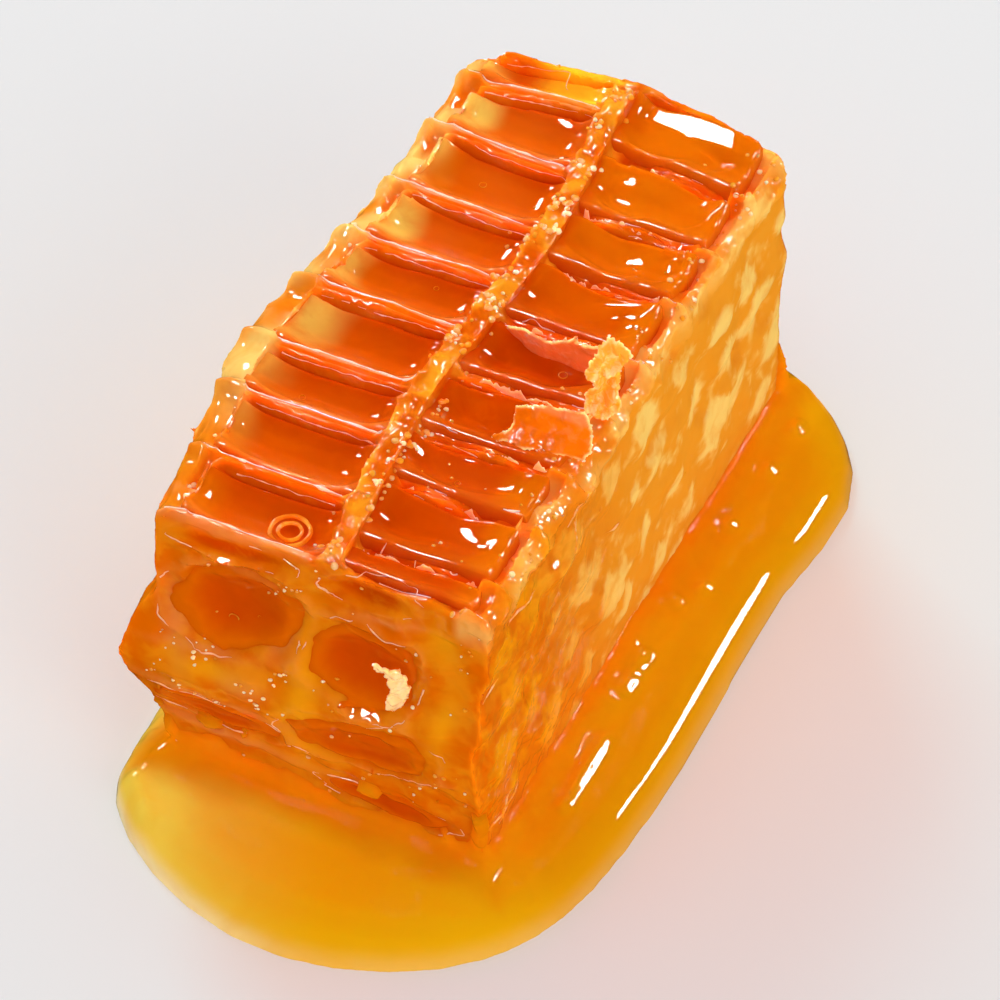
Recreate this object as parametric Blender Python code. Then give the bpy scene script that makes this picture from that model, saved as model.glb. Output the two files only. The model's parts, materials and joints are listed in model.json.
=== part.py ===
# A block cut from a honeycomb, standing in the honey that has run out of it.
# Metres, +Z up. X runs through the comb from one capped side to the other, Y along the block.
# The origin is the middle of the comb's flat base, on the surface that the block stands on.

import math
import random

import bmesh
import bpy
from mathutils import Vector, noise

MM = 0.001

# The block
COMB_THICKNESS = 21.5 * MM
COMB_LENGTH = 44.5 * MM
COMB_HEIGHT = 25.0 * MM
GAP = 0.3 * MM                   # kept between touching solids

# The wax: a midrib with a row of cells on either side, closed by cappings
CELL_PITCH = 5.1 * MM            # across the flats of a cell
WALL = 0.7 * MM                  # a wall with the honey that clings to it
MIDRIB = 1.4 * MM
CAPPING = 1.6 * MM
TOP_CUT = 1.0 * MM               # the top cut runs this far above the centres of its cells
END_WALL = 0.4 * MM              # from an end face to the middle of the wall beside it
ROW_START = {"left": 1.0, "right": 0.5}  # pitches from the front wall to the next one
CREST = 0.25 * MM                # how far a wall's rounded crest stands above its shoulders
WALL_SHIFT = 0.35 * MM           # most that a wall stands off its even place
TEAR = {"left": 0.35 * MM, "right": 1.3 * MM}  # most that the knife tore off a wall's top
TEAR_SIZE = 2.6 * MM
TEAR_REACH = 2.2 * MM            # how far down a torn wall is crushed
CELL_STEPS = 4                   # steps along a cell, from midrib to capping

# Cells opened by the end cuts: (middle height, height) of each opening, from the top down
END_CELL_DEPTH = 2.8 * MM
END_CELLS = {
    ("front", "left"): ((17.8 * MM, 7.2 * MM), (8.6 * MM, 3.4 * MM)),
    ("front", "right"): ((16.8 * MM, 6.2 * MM), (9.9 * MM, 5.6 * MM), (4.8 * MM, 2.6 * MM)),
    ("back", "left"): ((16.6 * MM, 6.0 * MM), (9.2 * MM, 6.0 * MM)),
    ("back", "right"): ((17.4 * MM, 6.6 * MM), (10.4 * MM, 5.4 * MM), (5.0 * MM, 2.8 * MM)),
}

# Honey left in the opened cells
HONEY_BELOW_CUT = 1.7 * MM       # its level at the walls
HONEY_DIP = 0.35 * MM            # how much lower it lies in the middle of a cell

# How the block has settled: nothing moves below FOOT, and all of it above FREE
FOOT = 3.0 * MM
FREE = 9.0 * MM
SWAY = 0.5 * MM
SWAY_SIZE = 9.0 * MM
MIDRIB_WAVE = 0.6 * MM
MIDRIB_WAVE_SIZE = 30.0 * MM
END_ZONE = 9.0 * MM              # the end faces bulge over this length of the block
BACK_BULGE = 1.3 * MM            # outwards at the midrib
BACK_CORNER = 1.1 * MM           # inwards at the cappings
FRONT_BULGE = 1.4 * MM
LEFT_SWELL = 2.0 * MM            # outwards, of the left row along its front half
SWELL_MIDDLE = -6.5 * MM
SWELL_LENGTH = 10.0 * MM
BULGE_HEIGHT = 11.5 * MM
BULGE_SPREAD = 4.2 * MM

# The capped sides
CAP_DOME = 0.5 * MM              # each cell's capping stands out this far
CAP_ROUGH = 0.55 * MM
CAP_ROUGH_SIZE = 3.4 * MM
CAP_GRID = (23, 13)              # faces along the block and up it
LIP = 2.3 * MM                   # the left capping's lip at the front edge, at the bulge
LIP_LENGTH = 4.0 * MM

# Torn wax that stands on the right row and in a front cell: width, height, bend towards its
# face, place of the middle of its lower edge, and (lean, turn) in degrees
TORN_THICKNESS = 0.35 * MM
TORN_WAX = {
    "torn_flap": (5.4 * MM, 3.4 * MM, 0.9 * MM, (7.3 * MM, -9.0 * MM, 25.9 * MM), (-46, -4)),
    "torn_corner": (2.6 * MM, 3.6 * MM, 0.5 * MM, (9.8 * MM, -4.2 * MM, 26.1 * MM), (-12, 24)),
    "torn_wall": (6.0 * MM, 2.8 * MM, -0.4 * MM, (4.9 * MM, -0.4 * MM, 23.8 * MM), (4, -6)),
    "torn_front": (1.6 * MM, 5.0 * MM, 0.5 * MM, (5.4 * MM, -24.3 * MM, 14.4 * MM), (-6, 38)),
}

# The pool of honey
POOL_DEPTH = 2.2 * MM
POOL_EDGE = 3.6 * MM             # width of its rounded edge
POOL_CLIMB = 0.9 * MM            # how far it climbs the comb
CLIMB_WIDTH = 1.1 * MM
POOL_RINGS = (0.0, 0.05, 0.16, 0.34, 0.58, 0.8, 0.93, 1.0)  # from its edge in to the comb
POOL_SIDE_POINTS = (9, 18)       # along the comb's thickness and along its length
POOL_OUTLINE = [
    Vector((x * MM, y * MM))
    for x, y in (
        (-13.6, -19.5), (-12.9, -25.6), (-7.3, -30.3), (0.0, -32.4), (7.0, -31.2),
        (13.0, -27.4), (16.5, -21.0), (17.7, -10.0), (17.5, 0.0), (17.5, 9.0), (18.3, 15.0),
        (16.4, 20.6), (11.0, 24.9), (3.0, 26.4), (-7.0, 26.0), (-13.0, 23.0), (-14.2, 14.0),
        (-13.4, 3.0), (-14.0, -9.0),
    )
]
OUTLINE_STEPS = 12               # steps of the smooth curve between two outline points

HALF_X = COMB_THICKNESS / 2
HALF_Y = COMB_LENGTH / 2
CELL_SIDE = CELL_PITCH / math.sqrt(3)
SIDES = {"left": -1, "right": 1}


def smooth(low, high, value):
    t = min(max((value - low) / (high - low), 0.0), 1.0)
    return t * t * (3 - 2 * t)


def bell(distance, width):
    return math.exp(-((distance / width) ** 2))


def rough(point, size, seed):
    return noise.noise(point / size + Vector((seed * 7.3, seed * 3.1, seed * 5.7)))


def settled(p):
    """Where a point of the straight block lies once the block has settled."""
    free = smooth(FOOT, FREE, p.z)
    near_front = smooth(-HALF_Y + END_ZONE, -HALF_Y, p.y)
    near_back = smooth(HALF_Y - END_ZONE, HALF_Y, p.y)
    wave = MIDRIB_WAVE * math.sin(2 * math.pi * p.y / MIDRIB_WAVE_SIZE)
    moved = p.copy()
    moved.x += free * wave * (1 - abs(p.x) / HALF_X)
    moved.x += free * LEFT_SWELL * min(p.x / HALF_X, 0.0) * bell(p.y - SWELL_MIDDLE, SWELL_LENGTH)
    moved.y += free * SWAY * rough(p, SWAY_SIZE, 1)
    aside = (p.x / HALF_X) ** 2
    moved.y += free * near_back * (BACK_BULGE * (1 - aside) - BACK_CORNER * aside)
    moved.y -= free * near_front * FRONT_BULGE * bell(p.z - BULGE_HEIGHT, BULGE_SPREAD)
    moved.z += free * SWAY * rough(p, SWAY_SIZE, 2)
    return moved


def material(name, colour, roughness):
    made = bpy.data.materials.new(name)
    made.use_nodes = True
    shader = made.node_tree.nodes["Principled BSDF"]
    shader.inputs["Base Color"].default_value = (*colour, 1.0)
    shader.inputs["Roughness"].default_value = roughness
    shader.inputs["Metallic"].default_value = 0.0
    return made


def finished(name, bm, finish):
    """The mesh becomes a named object with outward faces and its material."""
    bmesh.ops.recalc_face_normals(bm, faces=bm.faces[:])
    mesh = bpy.data.meshes.new(name)
    bm.to_mesh(mesh)
    bm.free()
    mesh.materials.append(finish)
    mesh.shade_smooth()
    mesh.set_sharp_from_angle(angle=math.radians(50))
    made = bpy.data.objects.new(name, mesh)
    bpy.context.scene.collection.objects.link(made)
    return made


def extruded(outline, start, end, steps):
    """A YZ outline drawn out along X in equal steps."""
    bm = bmesh.new()
    sections = [bm.faces.new([bm.verts.new((start, y, z)) for y, z in outline])]
    for _ in range(steps):
        grown = bmesh.ops.extrude_face_region(bm, geom=sections[-1:])["geom"]
        moving = [part for part in grown if isinstance(part, bmesh.types.BMVert)]
        bmesh.ops.translate(bm, verts=moving, vec=((end - start) / steps, 0, 0))
        sections += [part for part in grown if isinstance(part, bmesh.types.BMFace)]
    bmesh.ops.delete(bm, geom=sections[1:-1], context="FACES_ONLY")
    return bm


def sliced(bm, axis, places):
    """Cuts the mesh's faces, without parting them, by planes across one axis."""
    normal = [0, 0, 0]
    normal[axis] = 1
    for place in places:
        point = [place * part for part in normal]
        everything = bm.verts[:] + bm.edges[:] + bm.faces[:]
        bmesh.ops.bisect_plane(bm, geom=everything, plane_co=point, plane_no=normal, dist=1e-7)


def between(low, high, count):
    """The places that divide a length into equal parts, without its ends."""
    return [low + (high - low) * k / count for k in range(1, count)]


def wall_places(side):
    """The middles of the walls that the top cut crosses, front to back."""
    draw = random.Random(f"walls {side}")
    places = [-HALF_Y + END_WALL]
    even = places[0] + ROW_START[side] * CELL_PITCH
    while even < HALF_Y - CELL_PITCH / 3:
        places.append(even + draw.uniform(-WALL_SHIFT, WALL_SHIFT))
        even += CELL_PITCH
    return [*places, HALF_Y - END_WALL]


def channel_floor(front, back, inset=0.0):
    """The lower half of a hexagonal cell between two walls, front to back."""
    bottom = COMB_HEIGHT - TOP_CUT - CELL_SIDE + 1.2 * inset
    middle, half = (front + back) / 2, (back - front) / 2 - inset
    rises = {-1.0: 1.0, -0.84: 0.66, -0.42: 0.26, 0.0: 0.0, 0.42: 0.26, 0.84: 0.66, 1.0: 1.0}
    return [(middle + half * t, bottom + rise * CELL_SIDE / 2) for t, rise in rises.items()]


def end_cell(end, middle, height, inset=0.0):
    """The rounded hollow of a cell opened by an end cut, from the bottom up."""
    out = -1 if end == "front" else 1
    depth, half = END_CELL_DEPTH - inset, height / 2 - inset
    angles = [math.pi * k / 6 for k in range(7)]
    return [
        (out * (HALF_Y - depth * math.sin(a) ** 0.7), middle - half * math.cos(a)) for a in angles
    ]


def cells_outline(side):
    """One row of cells seen along X: its base, front face, top cut and back face."""
    outline = [(-HALF_Y, 0.0)]
    for middle, height in reversed(END_CELLS["front", side]):
        outline += end_cell("front", middle, height)
    walls = wall_places(side)
    for wall in walls:
        for offset, drop in ((-WALL / 2, CREST), (0.0, 0.0), (WALL / 2, CREST)):
            outline.append((wall + offset, COMB_HEIGHT - drop))
        if wall != walls[-1]:
            following = walls[walls.index(wall) + 1]
            outline += channel_floor(wall + WALL / 2, following - WALL / 2)
    for middle, height in END_CELLS["back", side]:
        outline += reversed(end_cell("back", middle, height))
    outline.append((HALF_Y, 0.0))
    return outline


def row_reach(side):
    """Where a row of cells starts at the midrib and ends at its capping, along X."""
    return SIDES[side] * (MIDRIB / 2 + GAP), SIDES[side] * (HALF_X - CAPPING - GAP)


def cells(side, finish):
    bm = extruded(cells_outline(side), *row_reach(side), CELL_STEPS)
    sliced(bm, 1, wall_places(side))
    sliced(bm, 2, (FOOT, (FOOT + FREE) / 2, FREE, BULGE_HEIGHT, 16 * MM, 20.5 * MM))
    for v in bm.verts:
        top = smooth(COMB_HEIGHT - TEAR_REACH, COMB_HEIGHT, v.co.z)
        torn = TEAR[side] * (0.5 + 0.8 * rough(v.co, TEAR_SIZE, 3 + SIDES[side]))
        v.co.z -= top * max(torn, 0.0)
        v.co = settled(v.co)
    return finished(f"cells_{side}", bm, finish)


def cell_honey(side, finish):
    """Honey in each opened cell of one row: along the top, then in the front and back faces."""
    reach = row_reach(side)
    level = COMB_HEIGHT - HONEY_BELOW_CUT
    walls = wall_places(side)
    fills = {}
    for number, (wall, following) in enumerate(zip(walls, walls[1:]), start=1):
        front, back = wall + WALL / 2 + GAP, following - WALL / 2 - GAP
        floor = channel_floor(front - GAP, back + GAP, GAP)
        surface = [(back, level), ((front + back) / 2, level - HONEY_DIP), (front, level)]
        fills[f"honey_top_{side}_{number}"] = floor + surface
    for end in ("front", "back"):
        for number, (middle, height) in enumerate(END_CELLS[end, side], start=1):
            fills[f"honey_{end}_{side}_{number}"] = end_cell(end, middle, height, GAP)[1:-1]
    for name, outline in fills.items():
        bm = extruded(outline, *reach, CELL_STEPS // 2)
        for v in bm.verts:
            v.co = settled(v.co)
        finished(name, bm, finish)


def block(size, middle, faces):
    """A box with its sides cut into faces along Y and Z."""
    bm = bmesh.new()
    bmesh.ops.create_cube(bm, size=1.0)
    bmesh.ops.scale(bm, verts=bm.verts[:], vec=size)
    bmesh.ops.translate(bm, verts=bm.verts[:], vec=middle)
    for axis, count in zip((1, 2), faces):
        low = middle[axis] - size[axis] / 2
        sliced(bm, axis, between(low, low + size[axis], count))
    return bm


def midrib(finish):
    """The wax sheet that both rows of cells are built on, with an uneven top edge."""
    bm = block((MIDRIB, COMB_LENGTH, COMB_HEIGHT), (0, 0, COMB_HEIGHT / 2), (17, 7))
    sliced(bm, 0, [0.0])
    for v in bm.verts:
        ridge = CREST * (2 - 3 * abs(v.co.x) / MIDRIB + 2 * rough(v.co, TEAR_SIZE, 8))
        v.co.z += ridge * smooth(COMB_HEIGHT - MM, COMB_HEIGHT, v.co.z)
        v.co = settled(v.co)
    return finished("midrib", bm, finish)


def cap_dome(p):
    """How far the nearest cell's domed capping stands out at a point of a capped side."""
    row_pitch = CELL_PITCH * math.sqrt(3) / 2
    row = round((p.z - COMB_HEIGHT + TOP_CUT) / row_pitch)
    best = 1.0
    for near in (row - 1, row, row + 1):
        height = COMB_HEIGHT - TOP_CUT + near * row_pitch
        start = -HALF_Y + END_WALL + CELL_PITCH / 2 * (1 + near % 2)
        across = start + round((p.y - start) / CELL_PITCH) * CELL_PITCH
        best = min(best, math.hypot(p.y - across, p.z - height) / (CELL_PITCH / 2))
    return 1 - best**2


def capping(side, finish):
    """The wax that seals one side, domed over each cell and roughened."""
    sign = SIDES[side]
    middle = (sign * (HALF_X - CAPPING / 2), 0, COMB_HEIGHT / 2)
    bm = block((CAPPING, COMB_LENGTH, COMB_HEIGHT), middle, CAP_GRID)
    for v in bm.verts:
        free = smooth(FOOT, FREE, v.co.z)
        bump = CAP_DOME * cap_dome(v.co) + CAP_ROUGH * rough(v.co, CAP_ROUGH_SIZE, 11 + sign)
        if side == "left":
            bump += LIP * bell(v.co.y + HALF_Y, LIP_LENGTH) * bell(v.co.z - BULGE_HEIGHT, BULGE_SPREAD)
        outer = abs(v.co.x) > HALF_X - CAPPING / 2
        v.co = settled(v.co)
        if outer:
            v.co.x += sign * free * bump
        v.co.z += free * CREST * rough(v.co, TEAR_SIZE, 14)
    return finished(f"capping_{side}", bm, finish)


def torn_wax(name, width, height, bend, place, angles, finish):
    """A thin torn sheet that stands on its lower edge, with a ragged upper edge."""
    bm = bmesh.new()
    bmesh.ops.create_grid(bm, x_segments=5, y_segments=3, size=0.5)
    for v in bm.verts:
        across, up = v.co.x * 2, v.co.y + 0.5
        ragged = 1 + 0.35 * up * rough(Vector((across, up, width / MM)), 0.4, 20)
        v.co = Vector((v.co.x * width * (1 - 0.25 * up), 0, up * height * ragged))
        v.co.y = bend * (across**2 - up**2)
    made = finished(name, bm, finish)
    thick = made.modifiers.new("thickness", "SOLIDIFY")
    thick.thickness = TORN_THICKNESS
    thick.offset = 0.0
    lean, turn = angles
    made.location = place
    made.rotation_euler = (math.radians(lean), 0, math.radians(turn))
    return made


def smooth_loop(points, steps):
    """A closed Catmull-Rom curve through the points."""
    loop = []
    for i, p1 in enumerate(points):
        p0, p2, p3 = points[i - 1], points[(i + 1) % len(points)], points[(i + 2) % len(points)]
        for k in range(steps):
            t = k / steps
            bend = (2 * p0 - 5 * p1 + 4 * p2 - p3) * t**2 + (3 * p1 - p0 - 3 * p2 + p3) * t**3
            loop.append(0.5 * (2 * p1 + (p2 - p0) * t + bend))
    return loop


def foot_outline():
    """The edge of the hole that the pool keeps round the comb's foot, corners included."""
    x, y = HALF_X + GAP, HALF_Y + GAP
    corners = [Vector((-x, -y)), Vector((x, -y)), Vector((x, y)), Vector((-x, y))]
    points = []
    for i, corner in enumerate(corners):
        count = POOL_SIDE_POINTS[i % 2]
        points += [corner.lerp(corners[(i + 1) % 4], k / count) for k in range(count)]
    return points


def pool_edge(direction, curve):
    """Where the ray from the comb's middle meets the pool's outline."""
    for a, b in zip(curve, curve[1:] + curve[:1]):
        along = b - a
        cross = direction.cross(along)
        share = a.cross(direction) / cross if cross else -1.0
        if 0 <= share <= 1 and a.cross(along) / cross > 0:
            return direction * (a.cross(along) / cross)
    raise ValueError("the pool's outline is open")


def honey_pool(finish):
    """Honey that lies round the comb's foot, rounded at its edge and drawn up at the comb."""
    curve = smooth_loop(POOL_OUTLINE, OUTLINE_STEPS)
    foot = foot_outline()
    edge = [pool_edge(p, curve) for p in foot]
    bm = bmesh.new()
    rings = []
    for share in POOL_RINGS:
        ring = []
        for outside, inside in zip(edge, foot):
            place = outside.lerp(inside, share)
            to_edge = min((place - outside).length / POOL_EDGE, 1.0)
            to_comb = (place - inside).length
            height = POOL_DEPTH * math.sqrt(1 - (1 - to_edge) ** 2)
            height += POOL_CLIMB * bell(to_comb, CLIMB_WIDTH) * (share > 0)
            ring.append(bm.verts.new((*place, height)))
        rings.append(ring)
    rings.append([bm.verts.new((*place, 0.0)) for place in foot])
    for ring, following in zip(rings, rings[1:] + rings[:1]):
        for i in range(len(foot)):
            j = (i + 1) % len(foot)
            bm.faces.new((ring[i], ring[j], following[j], following[i]))
    return finished("honey_pool", bm, finish)


def main():
    for old in list(bpy.data.objects):
        bpy.data.objects.remove(old)
    wax = material("wax_cells", (0.80, 0.27, 0.03), 0.25)
    rib = material("wax_midrib", (0.88, 0.48, 0.06), 0.22)
    cap = material("wax_capping", (0.90, 0.58, 0.18), 0.35)
    thin = material("wax_torn", (0.93, 0.62, 0.16), 0.15)
    deep = material("honey_cells", (0.68, 0.13, 0.01), 0.05)
    pale = material("honey_pool", (0.90, 0.48, 0.01), 0.03)
    midrib(rib)
    for side in SIDES:
        cells(side, wax)
        cell_honey(side, deep)
        capping(side, cap)
    for name, shape in TORN_WAX.items():
        torn_wax(name, *shape, thin)
    honey_pool(pale)


main()
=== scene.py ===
import json
import math
import random

import bmesh
import bpy
from mathutils import Matrix, Vector, noise
from mathutils.bvhtree import BVHTree
from mathutils.kdtree import KDTree

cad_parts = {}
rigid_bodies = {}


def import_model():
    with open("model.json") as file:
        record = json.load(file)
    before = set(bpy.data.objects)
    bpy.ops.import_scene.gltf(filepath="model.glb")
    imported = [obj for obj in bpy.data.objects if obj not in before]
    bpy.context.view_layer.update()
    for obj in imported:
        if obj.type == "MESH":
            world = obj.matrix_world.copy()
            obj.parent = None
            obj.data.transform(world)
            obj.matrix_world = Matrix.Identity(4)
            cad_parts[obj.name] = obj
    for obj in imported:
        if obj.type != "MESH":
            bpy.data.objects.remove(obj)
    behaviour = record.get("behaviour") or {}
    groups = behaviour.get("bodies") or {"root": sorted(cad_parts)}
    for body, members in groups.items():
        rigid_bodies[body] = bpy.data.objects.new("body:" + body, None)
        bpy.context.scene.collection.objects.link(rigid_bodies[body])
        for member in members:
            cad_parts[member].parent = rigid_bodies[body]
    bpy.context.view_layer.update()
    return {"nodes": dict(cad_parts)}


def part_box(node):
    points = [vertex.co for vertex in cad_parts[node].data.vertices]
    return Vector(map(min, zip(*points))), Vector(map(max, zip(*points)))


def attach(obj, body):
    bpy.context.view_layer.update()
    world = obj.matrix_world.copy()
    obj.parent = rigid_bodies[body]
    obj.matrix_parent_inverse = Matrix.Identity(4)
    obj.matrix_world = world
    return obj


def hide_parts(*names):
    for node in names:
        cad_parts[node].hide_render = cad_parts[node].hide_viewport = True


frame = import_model()
mm = 0.001
print("frame loaded,", len(frame["nodes"]), "nodes")

up = Vector((0, 0, 1))
backward = Vector((0, 1, 0))
foot = {"x": 10.75 * mm, "y": 22.25 * mm, "top": 25.0 * mm}  # half sizes and height of the cut block


# small helpers for shapes

def ease(low, high, value):
    t = min(max((value - low) / (high - low), 0.0), 1.0)
    return t * t * (3 - 2 * t)


def easeMm(low, high, value):
    return ease(low * mm, high * mm, value)


def seeded(point, size, seed):
    return point / size + Vector((seed * 7.3, seed * 3.1, seed * 5.7))


def waves(point, size, seed):
    return noise.noise(seeded(point, size, seed))


def rough(point, size, seed):
    return noise.fractal(seeded(point, size, seed), 0.8, 2.1, 4)


def rowOf(co):
    return "left" if co.x < 0 else "right"


def meshOf(piece):
    bm = bmesh.new()
    bm.from_mesh(piece.data)
    bm.normal_update()
    return bm


def nodeMesh(node):
    bm = meshOf(frame["nodes"][node])
    bmesh.ops.remove_doubles(bm, verts=bm.verts[:], dist=1e-7)
    return bm


def grow(bm, amount, hold=None):
    # every corner moves out along its normal, less so along the held direction
    bm.normal_update()
    for v in bm.verts:
        out = v.normal * amount
        if hold is not None and out.dot(hold) > 0:
            out -= hold * out.dot(hold)
        v.co += out


def pieceFrom(parts, name):
    whole = bmesh.new()
    for part in parts:
        mesh = bpy.data.meshes.new("part")
        part.to_mesh(mesh)
        part.free()
        whole.from_mesh(mesh)
        bpy.data.meshes.remove(mesh)
    mesh = bpy.data.meshes.new(name)
    whole.to_mesh(mesh)
    whole.free()
    piece = bpy.data.objects.new(name, mesh)
    bpy.context.scene.collection.objects.link(piece)
    return piece


def applied(piece, kind, **settings):
    modifier = piece.modifiers.new(kind, kind)
    for key, value in settings.items():
        setattr(modifier, key, value)
    bpy.context.view_layer.objects.active = piece
    piece.select_set(True)
    bpy.ops.object.modifier_apply(modifier=modifier.name)
    piece.select_set(False)


def remesh(piece, voxel, smoothing):
    applied(piece, "REMESH", mode="VOXEL", voxel_size=voxel)
    applied(piece, "SMOOTH", factor=0.5, iterations=smoothing)


def dropCrumbs(piece, least):
    # islands of fewer corners than this are left out
    bm = meshOf(piece)
    left = set(bm.verts)
    while left:
        island, edge = set(), [left.pop()]
        while edge:
            v = edge.pop()
            island.add(v)
            for link in v.link_edges:
                other = link.other_vert(v)
                if other in left:
                    left.discard(other)
                    edge.append(other)
        if len(island) < least:
            bmesh.ops.delete(bm, geom=list(island), context="VERTS")
    bm.to_mesh(piece.data)
    bm.free()


def sculpt(piece, move):
    bm = meshOf(piece)
    for v in bm.verts:
        v.co += move(v)
    bm.to_mesh(piece.data)
    bm.free()
    piece.data.update()


def lightened(piece, triangles):
    count = sum(len(p.vertices) - 2 for p in piece.data.polygons)
    if count > triangles:
        applied(piece, "DECIMATE", ratio=triangles / count)


def treeOf(meshes):
    points, faces = [], []
    for mesh in meshes:
        start = len(points)
        points += [v.co.copy() for v in mesh.vertices]
        faces += [[start + i for i in p.vertices] for p in mesh.polygons]
    return BVHTree.FromPolygons(points, faces)


def paintMasks(piece, masks):
    for name, measure in masks:
        mask = piece.data.attributes.new(name, "FLOAT", "POINT")
        mask.data.foreach_set("value", [measure(v) for v in piece.data.vertices])


def finished(piece, material, nodes=()):
    piece.data.materials.clear()
    piece.data.materials.append(material)
    piece.data.shade_smooth()
    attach(piece, "root")
    if nodes:
        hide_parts(*nodes)
    count = sum(len(p.vertices) - 2 for p in piece.data.polygons)
    print(piece.name, "made with", count, "triangles")


# small helpers for finishes

def paint(red, green, blue):
    def linear(value):
        value /= 255
        return value / 12.92 if value <= 0.04045 else ((value + 0.055) / 1.055) ** 2.4
    return linear(red), linear(green), linear(blue), 1.0


def newFinish(name):
    finish = bpy.data.materials.new(name)
    finish.use_nodes = True
    tree = finish.node_tree
    tree.nodes.clear()
    output = tree.nodes.new("ShaderNodeOutputMaterial")
    shader = tree.nodes.new("ShaderNodeBsdfPrincipled")
    tree.links.new(shader.outputs["BSDF"], output.inputs["Surface"])
    return finish, tree, shader, output


def addNode(tree, kind, values=(), **settings):
    node = tree.nodes.new(kind)
    for key, value in settings.items():
        setattr(node, key, value)
    for key, value in dict(values).items():
        node.inputs[key].default_value = value
    return node


def passLight(tree, shader, output, tint):
    # light that reaches what lies behind is tinted instead of stopped
    through = addNode(tree, "ShaderNodeBsdfTransparent", {"Color": tint})
    path = addNode(tree, "ShaderNodeLightPath")
    mix = addNode(tree, "ShaderNodeMixShader")
    tree.links.new(path.outputs["Is Shadow Ray"], mix.inputs[0])
    tree.links.new(shader.outputs["BSDF"], mix.inputs[1])
    tree.links.new(through.outputs["BSDF"], mix.inputs[2])
    tree.links.new(mix.outputs[0], output.inputs["Surface"])


def blended(tree, mask, first, second):
    mix = addNode(tree, "ShaderNodeMix", data_type="RGBA")
    tree.links.new(mask, mix.inputs["Factor"])
    for socket, colour in (("A", first), ("B", second)):
        if isinstance(colour, tuple):
            mix.inputs[socket].default_value = colour
        else:
            tree.links.new(colour, mix.inputs[socket])
    return mix.outputs["Result"]


def maskFrom(tree, name):
    return addNode(tree, "ShaderNodeAttribute", attribute_name=name).outputs["Fac"]


def layered(tree, body, colours, *names):
    # every mask lays the colour of its own name over what is there
    for name in names:
        body = blended(tree, maskFrom(tree, name), body, colours[name])
    return body


def makeWaxGrain():
    # shared by all wax: cloudy patches and fine grain
    group = bpy.data.node_groups.new("waxGrain", "ShaderNodeTree")
    face = group.interface
    for name in ("Color", "Cloud"):
        face.new_socket(name, in_out="INPUT", socket_type="NodeSocketColor")
    for name, value in (("Patch Scale", 400.0), ("Amount", 0.5), ("Grain Scale", 1800.0)):
        face.new_socket(name, in_out="INPUT", socket_type="NodeSocketFloat").default_value = value
    face.new_socket("Color", in_out="OUTPUT", socket_type="NodeSocketColor")
    face.new_socket("Height", in_out="OUTPUT", socket_type="NodeSocketFloat")
    inside = addNode(group, "NodeGroupInput")
    outside = addNode(group, "NodeGroupOutput")
    place = addNode(group, "ShaderNodeTexCoord")
    cloud = addNode(group, "ShaderNodeTexNoise", {"Detail": 4.0, "Roughness": 0.6, "Distortion": 0.6})
    grain = addNode(group, "ShaderNodeTexNoise", {"Detail": 3.0})
    for texture, scale in ((cloud, "Patch Scale"), (grain, "Grain Scale")):
        group.links.new(place.outputs["Object"], texture.inputs["Vector"])
        group.links.new(inside.outputs[scale], texture.inputs["Scale"])
    edge = addNode(group, "ShaderNodeMapRange", {"From Min": 0.45, "From Max": 0.68},
                   interpolation_type="SMOOTHSTEP")
    group.links.new(cloud.outputs["Fac"], edge.inputs["Value"])
    share = addNode(group, "ShaderNodeMath", operation="MULTIPLY")
    group.links.new(edge.outputs["Result"], share.inputs[0])
    group.links.new(inside.outputs["Amount"], share.inputs[1])
    mix = addNode(group, "ShaderNodeMix", data_type="RGBA")
    group.links.new(share.outputs[0], mix.inputs["Factor"])
    group.links.new(inside.outputs["Color"], mix.inputs["A"])
    group.links.new(inside.outputs["Cloud"], mix.inputs["B"])
    group.links.new(mix.outputs["Result"], outside.inputs["Color"])
    group.links.new(grain.outputs["Fac"], outside.inputs["Height"])
    return group


waxGrain = makeWaxGrain()


def grained(tree, shader, colour, cloud, patchScale, amount, grainScale, relief):
    values = {"Patch Scale": patchScale, "Amount": amount, "Grain Scale": grainScale}
    grain = addNode(tree, "ShaderNodeGroup", node_tree=waxGrain)
    for socket, value in values.items():
        grain.inputs[socket].default_value = value
    for socket, value in (("Color", colour), ("Cloud", cloud)):
        if isinstance(value, tuple):
            grain.inputs[socket].default_value = value
        else:
            tree.links.new(value, grain.inputs[socket])
    tree.links.new(grain.outputs["Color"], shader.inputs["Base Color"])
    bump = addNode(tree, "ShaderNodeBump", {"Strength": relief, "Distance": 0.05 * mm})
    tree.links.new(grain.outputs["Height"], bump.inputs["Height"])
    tree.links.new(bump.outputs["Normal"], shader.inputs["Normal"])


def wetFinish(name, look, colouring, tint, coatMask=None):
    # light wanders in it and a wet film lies over it; colouring is a colour, or makes one from masks
    finish, tree, shader, output = newFinish(name)
    shader.subsurface_method = "BURLEY"
    values = {"Roughness": look["roughness"], "IOR": 1.44, "Specular IOR Level": 0.0,
              "Subsurface Weight": 1.0, "Subsurface Radius": look["radius"], "Subsurface Scale": 1.0,
              "Coat Weight": 1.0, "Coat Roughness": 0.02, "Coat IOR": 1.45}
    for key, value in values.items():
        shader.inputs[key].default_value = value
    if coatMask:
        tree.links.new(maskFrom(tree, coatMask), shader.inputs["Coat Weight"])
    colour = colouring(tree) if callable(colouring) else colouring
    grained(tree, shader, colour, look["cloud"], *look["grain"])
    passLight(tree, shader, output, tint)
    return finish


# where the walls between the opened cells stand

cellHoneyNodes = sorted(n for n in frame["nodes"] if n.startswith("honey_") and n != "honey_pool")


def topChannels(side):
    # front, back and the reach along x of the honey in every opened cell
    found = []
    for name in cellHoneyNodes:
        if name.startswith("honey_top_" + side):
            low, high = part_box(name)
            found.append((low[1], high[1], low[0], high[0]))
    return sorted(found)


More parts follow.
